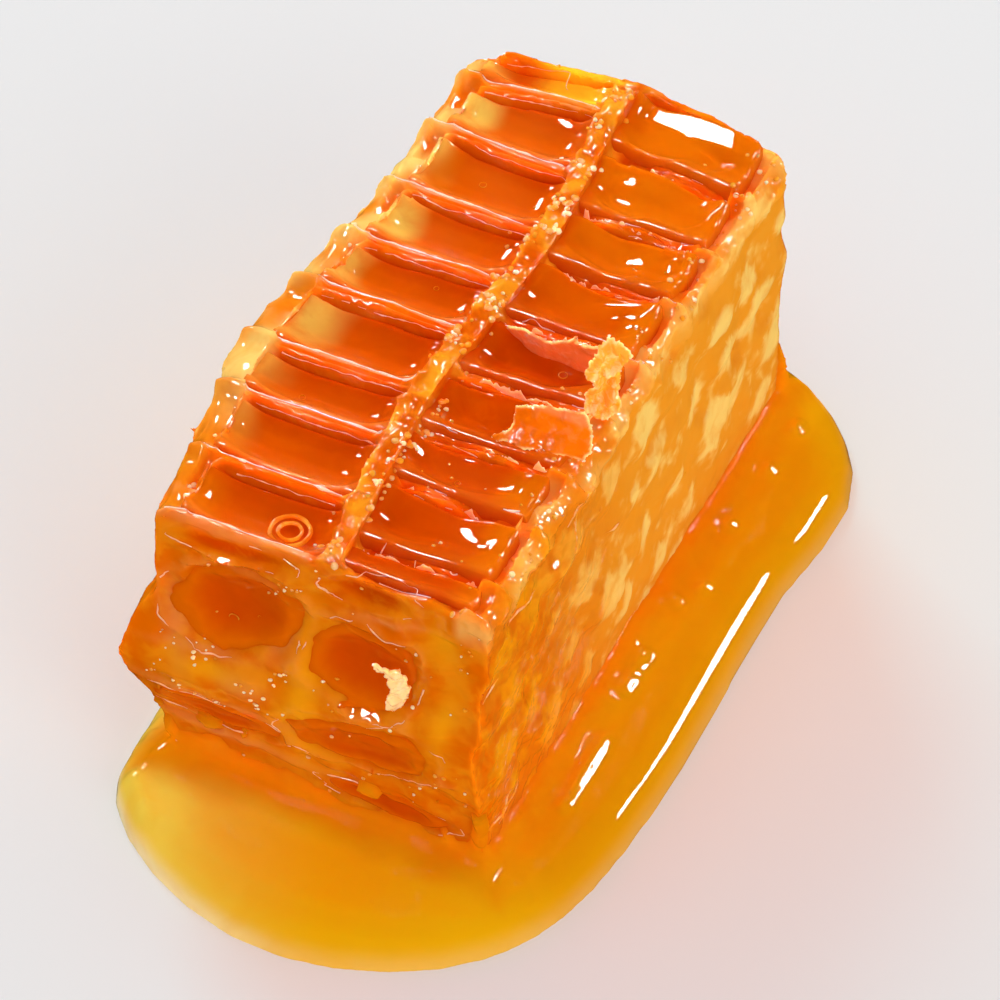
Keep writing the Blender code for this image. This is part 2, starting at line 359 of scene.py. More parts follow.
def wallsOf(side):
    channels = topChannels(side)
    walls = [channels[0][0] - 0.65 * mm, channels[-1][1] + 0.65 * mm]
    return sorted(walls + [(before[1] + after[0]) / 2 for before, after in zip(channels, channels[1:])])


walls = {side: wallsOf(side) for side in ("left", "right")}


def channelPlace(co):
    # distances back to the wall in front and on to the wall behind
    row = walls[rowOf(co)]
    before = [y for y in row if y <= co.y]
    after = [y for y in row if y > co.y]
    return (co.y - before[-1] if before else 0.0), (after[0] - co.y if after else 0.0)


def wallOffset(co):
    # how far behind the middle of the nearest wall
    return min((co.y - y for y in walls[rowOf(co)]), key=abs)


def straightX(co):
    # x before the block settled
    swell = 0.186 * math.exp(-((co.y + 6.5 * mm) / (10 * mm)) ** 2) if co.x < 0 else 0.0
    wave = 0.6 * mm * math.sin(2 * math.pi * co.y / (30 * mm))
    return (co.x - wave * (1 - min(abs(co.x) / foot["x"], 1.0)) * easeMm(3, 9, co.z)) / (1 + swell)


def asideOf(co):
    # distance from the midrib before the block settled
    return abs(straightX(co))


# the two cut ends: their hollows are opened cells, brim full of honey

endLook = {
    "face": 22.25 * mm,
    "frontBulge": (1.4 * mm, 11.5 * mm, 4.2 * mm),  # how far, at what height, how widely
    "backBulge": (1.3 * mm, 1.1 * mm),
    "rim": 0.26 * mm,
    "edge": (0.30, 1.14),
    "depth": 0.5,                                   # share of a hollow that the honey leaves open
    "skin": (0.14 * mm, 0.40 * mm),                 # honey over the wax, and under it at the rim
    "skinWet": (1.6 * mm, 0.12 * mm),
    "wobble": (2.6 * mm, 0.20),                     # how ragged a hollow's outline is
    "squareness": 2.4,
    "crest": (1.12, 0.07),                          # where the rim is highest, and how narrow it is
    "swell": (3.4 * mm, 0.22 * mm),
    "wet": ((1.4 * mm, 0.24 * mm), (0.6 * mm, 0.13 * mm)),   # size and height of the wet relief
}
ends = (("front", -1), ("back", 1))
# each hollow has the x and height of its middle, half width, half height, tilt in degrees and depth, in mm
endHollows = {
    "front": ((-5.5, 17.9, 4.5, 3.4, 16, 1.9), (-7.3, 8.5, 4.9, 1.15, -3, 1.3),
              (-5.9, 22.9, 4.0, 0.75, 2, 0.35), (2.6, 17.0, 3.9, 3.1, 0, 2.0), (3.0, 10.5, 5.0, 2.2, 6, 2.0),
              (4.3, 4.7, 4.3, 1.0, -3, 1.2), (3.4, 23.2, 3.3, 1.2, 4, 0.45)),
    "back": ((-5.2, 16.6, 4.4, 3.0, 5, 1.9), (-5.2, 9.2, 4.5, 2.6, -4, 1.9), (4.9, 17.4, 4.2, 3.1, 3, 2.0),
             (4.9, 10.4, 4.3, 2.4, -5, 2.0), (4.8, 5.0, 4.4, 1.1, 2, 1.2)),
}
# ridges and tones are given in the same way, ridges with their height last
endRidges = (
    (-8.2, 11.9, 5.0, 1.3, -2, 0.45), (-7.0, 6.2, 5.0, 0.55, -4, 0.34), (3.6, 13.5, 4.2, 0.5, 6, 0.22),
    (3.8, 6.6, 4.8, 0.5, -3, 0.26), (-0.9, 13.0, 0.9, 9.0, 0, 0.18), (-5.0, 22.0, 5.0, 0.35, 3, 0.25),
)
endTones = {
    "gold": ((-0.9, 12.5, 1.2, 7.5, -2), (-1.7, 11.0, 0.9, 0.8, 0), (-6.8, 12.9, 3.0, 0.6, 0),
             (8.4, 15.0, 0.8, 2.6, -12), (8.0, 21.0, 1.2, 1.6, 0), (-6.0, 3.6, 6.0, 0.8, -2),
             (2.0, 3.0, 5.0, 0.5, -4)),
    # pink streaks on the ridges of the ends: a painted sheen
    "blush": ((-7.2, 10.0, 5.2, 0.45, -4), (-6.4, 6.2, 5.0, 0.5, -5), (-2.6, 16.6, 0.55, 1.4, -25),
              (-9.6, 15.6, 0.7, 2.6, 12), (-4.8, 12.6, 1.3, 0.7, 0), (-6.5, 24.2, 4.6, 0.45, 0),
              (4.5, 21.4, 2.4, 0.3, 10), (-8.0, 14.0, 2.6, 0.3, 3)),
}


def inOval(x, z, oval):
    # place in a tilted oval, as shares of its half width and half height
    middle, height, width, tall, tilt = oval[:5]
    dx, dz = x / mm - middle, z / mm - height
    turn = math.radians(tilt)
    across, along = dx * math.cos(turn) + dz * math.sin(turn), dz * math.cos(turn) - dx * math.sin(turn)
    return across / width, along / tall


def bell(x, z, spot):
    across, along = inOval(x, z, spot)
    return math.exp(-across ** 2 - along ** 2)


def endTone(x, z, name):
    return min(sum(bell(x, z, spot) for spot in endTones[name]), 1.0)


def endPlane(x, z, face):
    # y of an end before its hollows
    free = easeMm(3, 9, z)
    if face < 0:
        far, height, spread = endLook["frontBulge"]
        return -endLook["face"] - free * far * math.exp(-((z - height) / spread) ** 2)
    out, back = endLook["backBulge"]
    aside = min((x / foot["x"]) ** 2, 1.0)
    return endLook["face"] + free * (out * (1 - aside) - back * aside)


def onFace(x, z, face):
    # where the noise of an end is read
    return Vector((x, face * 5 * mm, z))


def hollowReach(x, z, hollow, face):
    # 0 in the middle of a hollow, 1 at its rim
    across, along = inOval(x, z, hollow)
    size, amount = endLook["wobble"]
    power = endLook["squareness"]
    wobble = 1 + amount * rough(onFace(x, z, face), size, 31)
    return (abs(across) ** power + abs(along) ** power) ** (1 / power) * wobble


def hollowPoint(hollow, turn, reach):
    # x and z at a turn round a hollow
    middle, height, width, tall, tilt = hollow[:5]
    across, along = width * reach * math.cos(turn), tall * reach * math.sin(turn)
    lean = math.radians(tilt)
    x = middle + across * math.cos(lean) - along * math.sin(lean)
    z = height + across * math.sin(lean) + along * math.cos(lean)
    return x * mm, z * mm


def endFace(x, z, face):
    # y of the wax at an end, how hollow it is there, and how near a rim
    name = "front" if face < 0 else "back"
    deepest, hollowed, rim = 0.0, 0.0, 0.0
    crest, narrow = endLook["crest"]
    for hollow in endHollows[name]:
        reach = hollowReach(x, z, hollow, face)
        share = 1 - ease(endLook["edge"][0], endLook["edge"][1], reach)
        deepest = max(deepest, share * hollow[5] * endLook["depth"] * mm)
        hollowed = max(hollowed, share)
        rim = max(rim, math.exp(-((reach - crest) / narrow) ** 2))
    size, height = endLook["swell"]
    lump = height * waves(onFace(x, z, face), size, 4)
    for number, (size, height) in enumerate(endLook["wet"]):
        lump += height * (1 - 0.6 * hollowed) * rough(onFace(x * 0.6, z, face), size, 35 + number)
    lump += sum(ridge[5] * mm * bell(x, z, ridge) for ridge in endRidges) * (1 - hollowed)
    rim *= 0.25 + 0.75 * ease(-0.2, 0.3, waves(onFace(x, z, face), 2.6 * mm, 36))
    out = endLook["rim"] * rim * (1 - hollowed) - deepest + lump
    return endPlane(x, z, face) + face * out, hollowed, rim


def endAt(co):
    return endFace(co.x, co.z, math.copysign(1, co.y))


# the comb: cells, midrib and capped sides as one wet body of wax

combLook = {
    "voxel": 0.18 * mm,
    "closing": 0.22 * mm,
    "flare": 0.30,                       # how much a wall thickens at its back for each depth
    "flareDepth": 2.4 * mm,
    "crestThin": 0.25 * mm,              # how much a wall's top loses on each side
    "slope": {"left": 0.62 * mm, "right": 0.15 * mm},     # how far a wall's top falls to its front
    "crestDepth": 1.7 * mm,
    "swell": (2.4 * mm, 0.10 * mm),      # size and height of the slow relief
    "grain": (0.9 * mm, 0.02 * mm),
    "ribLumps": (1.3 * mm, 0.50 * mm),
    "wear": {"left": 0.10 * mm, "right": 0.75 * mm},
    "sideDip": {"left": 0.95 * mm, "right": 0.9 * mm},    # how far the capped sides sag between the walls
    "topLumps": {"left": 0.08 * mm, "right": 0.2 * mm},
    "sideLumps": {"left": 0.05 * mm, "right": 0.24 * mm},
    "sideRound": (9.7 * mm, 1.5 * mm),   # where their tops start to round off, and how far
    "endRound": (20.9 * mm, 1.6 * mm),
    "sideWet": (0.9 * mm, 0.13 * mm),    # size and height of the wet relief near the front
    "capPitch": 5.1 * mm,
    "capReach": (0.8 * mm, 2.9 * mm),    # where the air under a cap ends, from its middle
    "capRise": 0.10 * mm,
    "sunSpot": (-3.8 * mm, 21.8 * mm, 2.4 * mm, 2.0 * mm),    # x and y of its middle, half width, half depth
    "triangles": 195000,
}
combPaint = {
    # pale salmon on the wall crests: a painted sheen
    "crest": paint(250, 178, 122),
    # lighter orange on the backs of the wall tops: a painted sheen
    "sheenHalo": paint(232, 108, 16),
    "wallBack": paint(232, 118, 14),
    "wallFront": paint(224, 98, 6),
    "wall": paint(222, 94, 4),
    # deep red inside the opened cells: the honey's depth and painted shade
    "shadedCore": paint(206, 72, 0),
    "rightRow": paint(202, 66, 2),
    # a yellow spot of painted light at the back of the left row
    "sunny": paint(254, 198, 40),
    "brow": paint(224, 100, 6),
    "sideRim": paint(234, 124, 18),
    "mottle": paint(242, 132, 12),
    "rib": paint(240, 152, 30),
    "ribDark": paint(216, 90, 4),
    "end": paint(234, 106, 0),
    "gold": paint(250, 156, 14),
    # pink on the ends: a painted sheen
    "blush": paint(240, 142, 70),
    "rim": paint(240, 142, 56),
    "edge": paint(248, 206, 112),
    "cloud": paint(242, 148, 24),
    # the capped sides turn from these toward gold and capDeep at the front: paler toward the back is a
    # painted glow of light from behind
    "capPale": paint(252, 210, 112),
    "capAmber": paint(240, 156, 40),
    "capDeep": paint(232, 118, 12),
    "radius": (0.0010, 0.0006, 0.0003),      # how far red, green and blue light wander, in m
    "roughness": 0.3,
    "grain": (420.0, 0.35, 1500.0, 0.15),    # patch scale, amount, grain scale and relief
}
shadowTint = paint(250, 178, 72)
combNodes = ("cells_left", "midrib", "cells_right", "capping_left", "capping_right")
honeyTree = treeOf([frame["nodes"][n].data for n in cellHoneyNodes if n.startswith("honey_top")])
ribTree = treeOf([frame["nodes"]["midrib"].data])
capTree = treeOf([frame["nodes"][n].data for n in ("capping_left", "capping_right")])


def ribShare(co):
    return 1 - easeMm(0.2, 1.0, ribTree.find_nearest(co)[3])


def capSpots():
    # middles of the capped cells on both sides, row upon row
    luck = random.Random(11)
    pitch, spots = combLook["capPitch"], []
    for side in (-1, 1):
        for row in range(-1, 7):
            for place in range(-6, 6):
                y = (place + 0.5 * (row % 2)) * pitch + luck.uniform(-0.9, 0.9) * mm
                z = row * pitch * 0.866 + 1.6 * mm + luck.uniform(-0.9, 0.9) * mm
                spots.append((Vector((side * 100 * mm, y, z)), luck.uniform(0.35, 1.15)))
    return spots


spots = capSpots()
caps = KDTree(len(spots))
for number, (spot, size) in enumerate(spots):
    caps.insert(spot, number)
caps.balance()


def patchShare(co):
    number, distance = caps.find(Vector((math.copysign(100 * mm, co.x), co.y, co.z)))[1:]
    distance += 0.9 * mm * rough(co, 2.6 * mm, 6)
    low, high = combLook["capReach"]
    return 1 - ease(low * spots[number][1], high * spots[number][1], distance)


def sunSpot(co):
    # a clear yellow spot of painted light at the back of the left row
    x, y, halfWidth, halfDepth = combLook["sunSpot"]
    return math.exp(-((co.x - x) / halfWidth) ** 4 - ((co.y - y) / halfDepth) ** 4)


def topLimit(co):
    # height that the wax keeps at the edges of the cut top
    look = combLook
    x, y = asideOf(co), abs(co.y)
    before, behind = channelPlace(co)
    wall = math.exp(-(min(before, behind) / (0.55 * mm)) ** 2)
    limit = foot["top"] + 0.3 * mm
    dip = look["sideDip"][rowOf(co)]
    limit -= easeMm(8.6, 9.3, x) * (1 - wall) * dip * (1.0 + 0.5 * waves(co, 2.4 * mm, 13))
    for place, (start, size) in ((x, look["sideRound"]), (y, look["endRound"])):
        over = min(max((place - start) / size, 0.0), 0.98)
        limit -= size * (1 - math.sqrt(1 - over * over))
    return limit + look["topLumps"][rowOf(co)] * waves(co, 1.6 * mm, 15)


def makeCombWax():
    look = combLook
    parts = [nodeMesh(node) for node in combNodes]
    for bm in parts:
        grow(bm, look["closing"])
    piece = pieceFrom(parts, "combWax")
    remesh(piece, look["voxel"], 2)

    def cut(v):
        # the ends follow their own relief, and the top its rounded edges
        co, normal = v.co, v.normal
        move = Vector()
        inHollow = co.z < 20.9 * mm and abs(co.y) > 19.1 * mm
        if inHollow or (abs(co.y) > 21.5 * mm and math.copysign(1, co.y) * normal.y > 0.35):
            share = easeMm(10.7, 10.2, abs(co.x)) * easeMm(24.8, 24.0, co.z)
            move.y = share * (endAt(co)[0] - co.y)
        if co.z > 22 * mm:
            move.z = min(topLimit(co) - co.z, 0)
        return move

    sculpt(piece, cut)
    remesh(piece, look["voxel"], 4)
    dropCrumbs(piece, 4000)

    def shaped(v):
        co, normal, row = v.co, v.normal, rowOf(v.co)
        move = Vector()
        lump = look["swell"][1] * waves(co, look["swell"][0], 1) - look["closing"]
        lump += look["grain"][1] * rough(co, look["grain"][0], 2)
        away = 1 - ribShare(co)
        if co.z > 21.5 * mm and abs(co.x) < 10.2 * mm and abs(co.y) < 21.4 * mm:
            depth = max(foot["top"] - co.z, 0)
            if normal.y > 0.2:
                move.y += look["flare"] * min(depth, look["flareDepth"]) * ease(0.2, 0.7, normal.y) * away
            thin = look["crestThin"] * (1 - ease(0, look["crestDepth"], depth))
            move.y -= thin * normal.y * away
            wear = look["wear"][row] * ease(0.1, 0.8, normal.z)
            worn = wear * (0.6 + 1.3 * waves(co, 2.6 * mm, 17))
            worn += look["slope"][row] * easeMm(0.45, -0.75, wallOffset(co)) * ease(0.1, 0.6, normal.z)
            move.z -= away * max(worn, 0) * easeMm(23, 24.6, co.z)
        if co.z > 22 * mm:
            rib = ribShare(co) * ease(0.2, 0.9, normal.z)
            lump += look["ribLumps"][1] * rib * (0.1 + rough(co, look["ribLumps"][0], 3))
            side = easeMm(8.8, 9.6, asideOf(co))
            lump += look["sideLumps"][row] * side * rough(co, 1.5 * mm, 12)
        side = ease(0.5, 0.9, abs(normal.x)) * easeMm(9.5, 10.5, abs(co.x))
        if side > 0:
            lump += side * (look["capRise"] * (patchShare(co) - 0.5) + 0.04 * mm * rough(co, 1.1 * mm, 7))
            wet = easeMm(1, -13, co.y) if co.x > 0 else 0.3
            lump += side * wet * look["sideWet"][1] * rough(co, look["sideWet"][0], 45)
        return move + normal * lump

    sculpt(piece, shaped)
    lightened(piece, look["triangles"])
    return piece


def skinOf(piece):
    # a taut skin over the comb, to tell ridges from hollows
    copy = bpy.data.objects.new("skin", piece.data.copy())
    bpy.context.scene.collection.objects.link(copy)
    remesh(copy, 0.6 * mm, 14)
    tree = treeOf([copy.data])
    bpy.data.objects.remove(copy)
    return tree


def paintComb(piece, skin):
    colours = combPaint

    def onEnd(v):
        face = math.copysign(1, v.co.y)
        return easeMm(20.6, 21.6, abs(v.co.y)) * ease(-0.2, 0.3, face * v.normal.y)

    def inTop(v):
        return easeMm(21.2, 22.4, v.co.z) * easeMm(9.4, 8.8, asideOf(v.co))

    # painted sheen on the proud ridges along the tops of the walls
    def crest(v):
        if v.co.z < 22.8 * mm:
            return 0.0
        place, normal = skin.find_nearest(v.co)[:2]
        proud = (v.co - place).dot(normal)
        high = easeMm(0.1, 0.45, proud) * easeMm(-0.2, 0.4, wallOffset(v.co))
        return 0.7 * high * ease(0.2, 0.7, v.normal.z) * (1 - ribShare(v.co)) * easeMm(2, 0, v.co.x)

    # painted sheen on the upper backs of the walls in the left row
    def sheenHalo(v):
        left = easeMm(1.5, 0.5, v.co.x)
        return left * inTop(v) * easeMm(23.0, 24.7, v.co.z) * ease(0.1, 0.5, v.normal.y)

    def wallTop(v):
        left = easeMm(1.5, 0.5, v.co.x)
        return (0.35 + 0.65 * left) * inTop(v) * easeMm(23.2, 24.4, v.co.z)

    def wallBack(v):
        return easeMm(-0.6, 0.5, wallOffset(v.co))

    # darker near the honey and in the hollows of the ends: the honey's depth and painted shade
    def shadedCore(v):
        near = (1 - easeMm(0.25, 1.3, honeyTree.find_nearest(v.co)[3])) * easeMm(23.3, 22.7, v.co.z)
        if abs(v.co.y) > 19 * mm and v.co.z < 24.5 * mm:
            near = max(near * (1 - onEnd(v)), ease(0.3, 1.0, endAt(v.co)[1]))
        return near

    def rim(v):
        return 0.5 * endAt(v.co)[2] * onEnd(v)

    def capped(v):
        co = v.co
        near = 1 - easeMm(0.2, 0.9, capTree.find_nearest(co)[3])
        side = easeMm(9.6, 10.5, asideOf(co) + 0.5 * mm * waves(co, 1.5 * mm, 14))
        return near * side * (1 - onEnd(v)) * ease(-0.9, 0.3, -v.normal.z + 0.3)

    def brow(v):
        return inTop(v) * ease(0.1, 0.6, -v.normal.y) * easeMm(22.2, 23.4, v.co.z)

    def sideRim(v):
        return easeMm(21.2, 22.6, v.co.z) * easeMm(8.3, 9.1, asideOf(v.co))

    def mottle(v):
        hollowed = endAt(v.co)[1] if onEnd(v) > 0 else 0.0
        return onEnd(v) * (1 - hollowed) * ease(-0.1, 0.4, rough(v.co, 2.2 * mm, 44))

    def edge(v):
        high = easeMm(21.5, 23.2, v.co.z) * easeMm(8.5, 9.3, asideOf(v.co))
        back = easeMm(-16, -8, v.co.y) if v.co.x < 0 else 0.5
        return high * back * ease(-0.25, 0.3, waves(v.co, 3.4 * mm, 33))

    def ribbed(v):
        return ribShare(v.co) * ease(0.0, 0.6, v.normal.z) * easeMm(21, 22, v.co.z)

    paintMasks(piece, (
        ("crest", crest), ("sheenHalo", sheenHalo), ("wallTop", wallTop), ("wallBack", wallBack), ("shadedCore", shadedCore),
        ("brow", brow), ("sideRim", sideRim), ("mottle", mottle), ("rim", rim),
        ("capped", capped), ("edge", edge), ("end", onEnd), ("rib", ribbed),
        ("gold", lambda v: endTone(v.co.x, v.co.z, "gold") * onEnd(v)),
        ("blush", lambda v: 0.6 * endTone(v.co.x, v.co.z, "blush") * onEnd(v)),
        ("rightRow", lambda v: easeMm(0.8, 2.2, v.co.x)),
        ("ribTone", lambda v: ease(-0.25, 0.3, waves(v.co, 1.6 * mm, 34))),
        ("patch", lambda v: ease(0.1, 0.75, 0.85 * patchShare(v.co) + 0.6 * rough(v.co, 1.4 * mm, 39))),
        ("sunny", lambda v: sunSpot(v.co) * inTop(v)),
        ("nearFront", lambda v: easeMm(2, -16, v.co.y + 4 * mm * waves(v.co, 5 * mm, 37))),
        ("wet", lambda v: 1 - 0.8 * capped(v) * easeMm(-12, -2, v.co.y)),
    ))

    def coloured(tree):
        def between(name, first, second):
            return blended(tree, maskFrom(tree, name), colours[first], colours[second])
        # the capped sides are paler toward the back: a painted glow of light from behind
        nearFront = maskFrom(tree, "nearFront")
        cappedTone = blended(tree, maskFrom(tree, "patch"),
                             blended(tree, nearFront, colours["capAmber"], colours["capDeep"]),
                             blended(tree, nearFront, colours["capPale"], colours["gold"]))
        tones = {**colours, "wallTop": between("wallBack", "wallFront", "wallBack"),
                 "rib": between("ribTone", "rib", "ribDark"), "capped": cappedTone}
        return layered(tree, colours["wall"], tones, "rightRow", "wallTop", "brow", "sideRim", "end",
                       "mottle", "gold", "blush", "shadedCore", "sheenHalo", "crest", "rim", "rib", "capped", "edge",
                       "sunny")

    finished(piece, wetFinish("waxComb", colours, coloured, shadowTint, "wet"), combNodes)


# honey in the opened cells

cellHoneyLook = {
    "voxel": 0.18 * mm,
    "reach": 0.3 * mm,
    "sideReach": 0.55 * mm,
    "climbBack": (1.25 * mm, 1.3 * mm),   # height and width at the back of the wall in front
    "climbFront": (0.5 * mm, 0.35 * mm),
    "climbRib": (0.9 * mm, 0.8 * mm),
    "climbSide": (0.75 * mm, 0.9 * mm),
    "rightRise": 0.75 * mm,               # the right row is fuller
    "fullest": 1.45 * mm,
    # the honey of the last cell on the right leans, so it mirrors a window
    "lean": {"from": 19.4 * mm, "to": 20.4 * mm, "level": 22.99 * mm, "most": 24.95 * mm,
             "across": 0.22, "curve": 6.0, "along": 0.10},
    "swell": (3.0 * mm, 0.10 * mm),
    "ripples": (1.1 * mm, 0.035 * mm),
    "triangles": 190000,
}
cellHoneyPaint = {
    "cell": paint(212, 80, 2),
    # yellower near the capped sides, and toward the back a painted glow of light from behind
    "warm": paint(226, 108, 4),
    # lighter orange where the honey climbs the back of each wall: a painted sheen
    "sheenHalo": paint(236, 120, 34),
    # pinkish on the honey at the left middle and back and the right front: a painted sheen
    "blush": paint(218, 86, 18),
    "end": paint(218, 78, 2),
    "endRim": paint(234, 106, 2),
    "pale": paint(248, 200, 88),
    "rightRow": paint(204, 68, 0),
    "sunny": combPaint["sunny"],
    "cloud": paint(224, 94, 2),
    "radius": (0.0010, 0.0006, 0.0003),
    "roughness": 0.25,
    "grain": (300.0, 0.35, 500.0, 0.03),
}
# middle and radius of each, in mm; those at y 0 lie on the front end
bubbles = (
    (-3.2, -19.7, 23.50, 1.35), (-6.1, 0, 16.4, 0.36), (-4.4, 0, 17.1, 0.16), (-7.5, -9.5, 23.4, 0.22),
    (-4.1, 2.1, 23.6, 0.18), (4.3, -12.3, 24.0, 0.2), (6.2, -1.5, 24.0, 0.3), (-5.4, 11.4, 23.6, 0.25),
)


def wallAway(tree, start):
    # distance back to the next wall that faces the front
    far = 6 * mm
    point = start.copy()
    for attempt in range(4):
        hit, normal, _, distance = tree.ray_cast(point, backward, far)
        if hit is None:
            return far
        if normal.y < 0:
            return distance
        point = hit + backward * 0.01 * mm
    return far


def endFill(hollow, face):
    # honey in one hollow of an end, its rim drawn in under the wax
    x, z, width, tall, tilt, depth = hollow
    (over, under), (wet, height) = endLook["skin"], endLook["skinWet"]
    crest = endLook["crest"][0]
    bm = bmesh.new()
    turn = Matrix.Rotation(math.radians(-tilt), 4, "Y")
    size = Matrix.Diagonal((width * crest * mm, depth * mm, tall * crest * mm, 1))
    place = Matrix.Translation((x * mm, 0, z * mm))
    bmesh.ops.create_icosphere(bm, subdivisions=5, radius=1.0, matrix=place @ turn @ size)
    for v in bm.verts:
        surface = endFace(v.co.x, v.co.z, face)[0]
        if face * v.co.y > 0:
            reach = hollowReach(v.co.x, v.co.z, hollow, face)
            skin = over + height * rough(onFace(v.co.x, v.co.z, face), wet, 38)
            v.co.y = surface + face * (skin - (skin + under) * ease(0.70, 1.0, reach))
        else:
            v.co.y = surface - face * (depth + 0.6) * mm
    bmesh.ops.recalc_face_normals(bm, faces=bm.faces[:])
    return bm


def makeCellHoney():
    look = cellHoneyLook
    parts = []
    for name in cellHoneyNodes:
        if name.startswith("honey_top"):
            bm = nodeMesh(name)
            grow(bm, look["reach"], up)
            for v in bm.verts:
                if abs(v.normal.x) > 0.5:
                    v.co.x += math.copysign(look["sideReach"], v.normal.x)
            parts.append(bm)
    for name, face in ends:
        parts += [endFill(hollow, face) for hollow in endHollows[name] if hollow[5] > 1]
    piece = pieceFrom(parts, "cellHoney")
    remesh(piece, look["voxel"], 2)
    dropCrumbs(piece, 400)

    def filled(v):
        co = v.co
        if v.normal.z < 0.4 or co.z < 22.6 * mm:
            return Vector()
        before, behind = channelPlace(co)
        x = asideOf(co)
        rise = look["rightRise"] * easeMm(-0.5, 1.5, co.x) * (1 + 0.8 * waves(co, 3 * mm, 21))
        gaps = ((before - 0.2 * mm, "climbBack"), (behind - 0.3 * mm, "climbFront"),
                (x - 0.8 * mm, "climbRib"), (9.1 * mm - x, "climbSide"))
        for gap, climb in gaps:
            high, width = look[climb]
            rise += high * math.exp(-(max(gap, 0) / width) ** 1.5)
        rise = min(rise, look["fullest"]) + look["swell"][1] * waves(co, look["swell"][0], 3)
        streak = Vector((co.x * 0.3, co.y, co.z))
        rise += look["ripples"][1] * rough(streak, look["ripples"][0], 22)
        lean = look["lean"]
        leaning = ease(lean["from"], lean["to"], co.y + 0.25 * (co.x - 5 * mm)) * easeMm(0.6, 1.4, co.x)
        level = lean["level"] + co.x * (lean["across"] + lean["curve"] * co.x)
        level += lean["along"] * (co.y - 21 * mm)
        return up * (rise + leaning * (min(level, lean["most"]) - co.z - rise))

    sculpt(piece, filled)
    applied(piece, "SMOOTH", factor=0.5, iterations=3)
    lightened(piece, look["triangles"])
    colours = cellHoneyPaint

    def atEnd(v):
        return easeMm(20.9, 20.5, v.co.z)

    # painted sheen where the honey climbs the back of the wall in front
    def sheenHalo(v):
        before = channelPlace(v.co)[0]
        streaks = 1 + 0.5 * waves(Vector((v.co.x * 0.4, v.co.y, 0)), 2.2 * mm, 23)
        left = 0.25 + 0.75 * easeMm(2, 0, v.co.x)
        return left * (1 - atEnd(v)) * math.exp(-(max(before - 0.5 * mm, 0) / (0.8 * mm * streaks)) ** 1.4)

    # yellower near the capped sides; toward the back a painted glow of light coming through from behind
    def warm(v):
        x = asideOf(v.co)
        side = easeMm(6.8, 9.2, x + 1.2 * mm * waves(v.co, 3 * mm, 24)) * (1 - atEnd(v))
        back = 0.35 * easeMm(0, 18, v.co.y) if v.co.x < 0 else 0.95 * easeMm(-1, 13, v.co.y)
        return max(side, back)

    def endRim(v):
        if atEnd(v) == 0:
            return 0.0
        return 1 - ease(0.3, 1.0, endAt(v.co)[1])

    def sunny(v):
        return sunSpot(v.co) * (1 - atEnd(v))

    def pale(v):
        x = asideOf(v.co)
        left = ease(0, -1 * mm, v.co.x) * easeMm(-17, -6, v.co.y)
        return left * (1 - atEnd(v)) * easeMm(6.9, 9.6, x + 2.2 * mm * waves(v.co, 3.2 * mm, 26))

    # painted pinkish sheen on the honey, left of the middle and at the right front
    def blush(v):
        left = easeMm(1, -1, v.co.x) * easeMm(-4, 10, v.co.y)
        right = 0.35 * easeMm(0, 2, v.co.x) * easeMm(-6, -14, v.co.y)
        return (1 - atEnd(v)) * max(left, right) * ease(-0.2, 0.45, waves(v.co, 5 * mm, 25))

    def rightRow(v):
        return easeMm(0.5, 2, v.co.x)

    paintMasks(piece, (("sheenHalo", sheenHalo), ("warm", warm), ("blush", blush), ("atEnd", atEnd), ("endRim", endRim),
                       ("pale", pale), ("sunny", sunny), ("rightRow", rightRow)))

    def coloured(tree):
        tones = {**colours, "atEnd": layered(tree, colours["end"], colours, "endRim")}
        return layered(tree, colours["cell"], tones,
                       "rightRow", "blush", "warm", "pale", "atEnd", "sheenHalo", "sunny")

    finished(piece, wetFinish("honeyInCells", colours, coloured, shadowTint), cellHoneyNodes)
    return piece


bubbleLook = {
    "outer": (0.90, 0.11),    # middle and thickness of a ring, as shares of the bubble's radius
    "inner": (0.52, 0.09),    # large bubbles alone have it
    "amber": paint(232, 122, 14),
    "cloud": paint(244, 164, 44),
    "radius": (0.0010, 0.0006, 0.0002),
    "roughness": 0.2,
    "grain": (900.0, 1.0, 900.0, 0.05),
}


def makeBubbles():
    look, parts = bubbleLook, []
    rings = [(spot, *look["outer"]) for spot in bubbles]
    rings += [(spot, *look["inner"]) for spot in bubbles if spot[3] > 1]
    for (x, y, z, radius), share, girth in rings:
        end = not y
        y = y * mm if y else endFace(x * mm, z * mm, -1)[0] - 0.10 * mm
        upright = Matrix.Translation((share * radius * mm, 0, 0)) @ Matrix.Rotation(math.pi / 2, 4, "X")
        bm = bmesh.new()
        bmesh.ops.create_circle(bm, segments=14, radius=girth * radius * mm, matrix=upright)
        bmesh.ops.spin(bm, geom=bm.verts[:] + bm.edges[:], cent=(0, 0, 0), axis=up, dvec=(0, 0, 0),
                       angle=2 * math.pi, steps=48, use_merge=True)
        for v in bm.verts:
            v.co += v.co.normalized() * 0.05 * radius * mm * waves(v.co, 0.6 * mm, 90)
        bmesh.ops.recalc_face_normals(bm, faces=bm.faces[:])
        lean = Matrix.Rotation(math.pi / 2, 4, "X") if end else Matrix()
        bmesh.ops.transform(bm, matrix=Matrix.Translation((x * mm, y, z * mm)) @ lean, verts=bm.verts[:])
        parts.append(bm)
    piece = pieceFrom(parts, "honeyBubbles")
    finished(piece, wetFinish("honeyBubble", look, look["amber"], shadowTint))


# lines, beads and shreds of wax; the bright beads and the crest lines are painted highlights

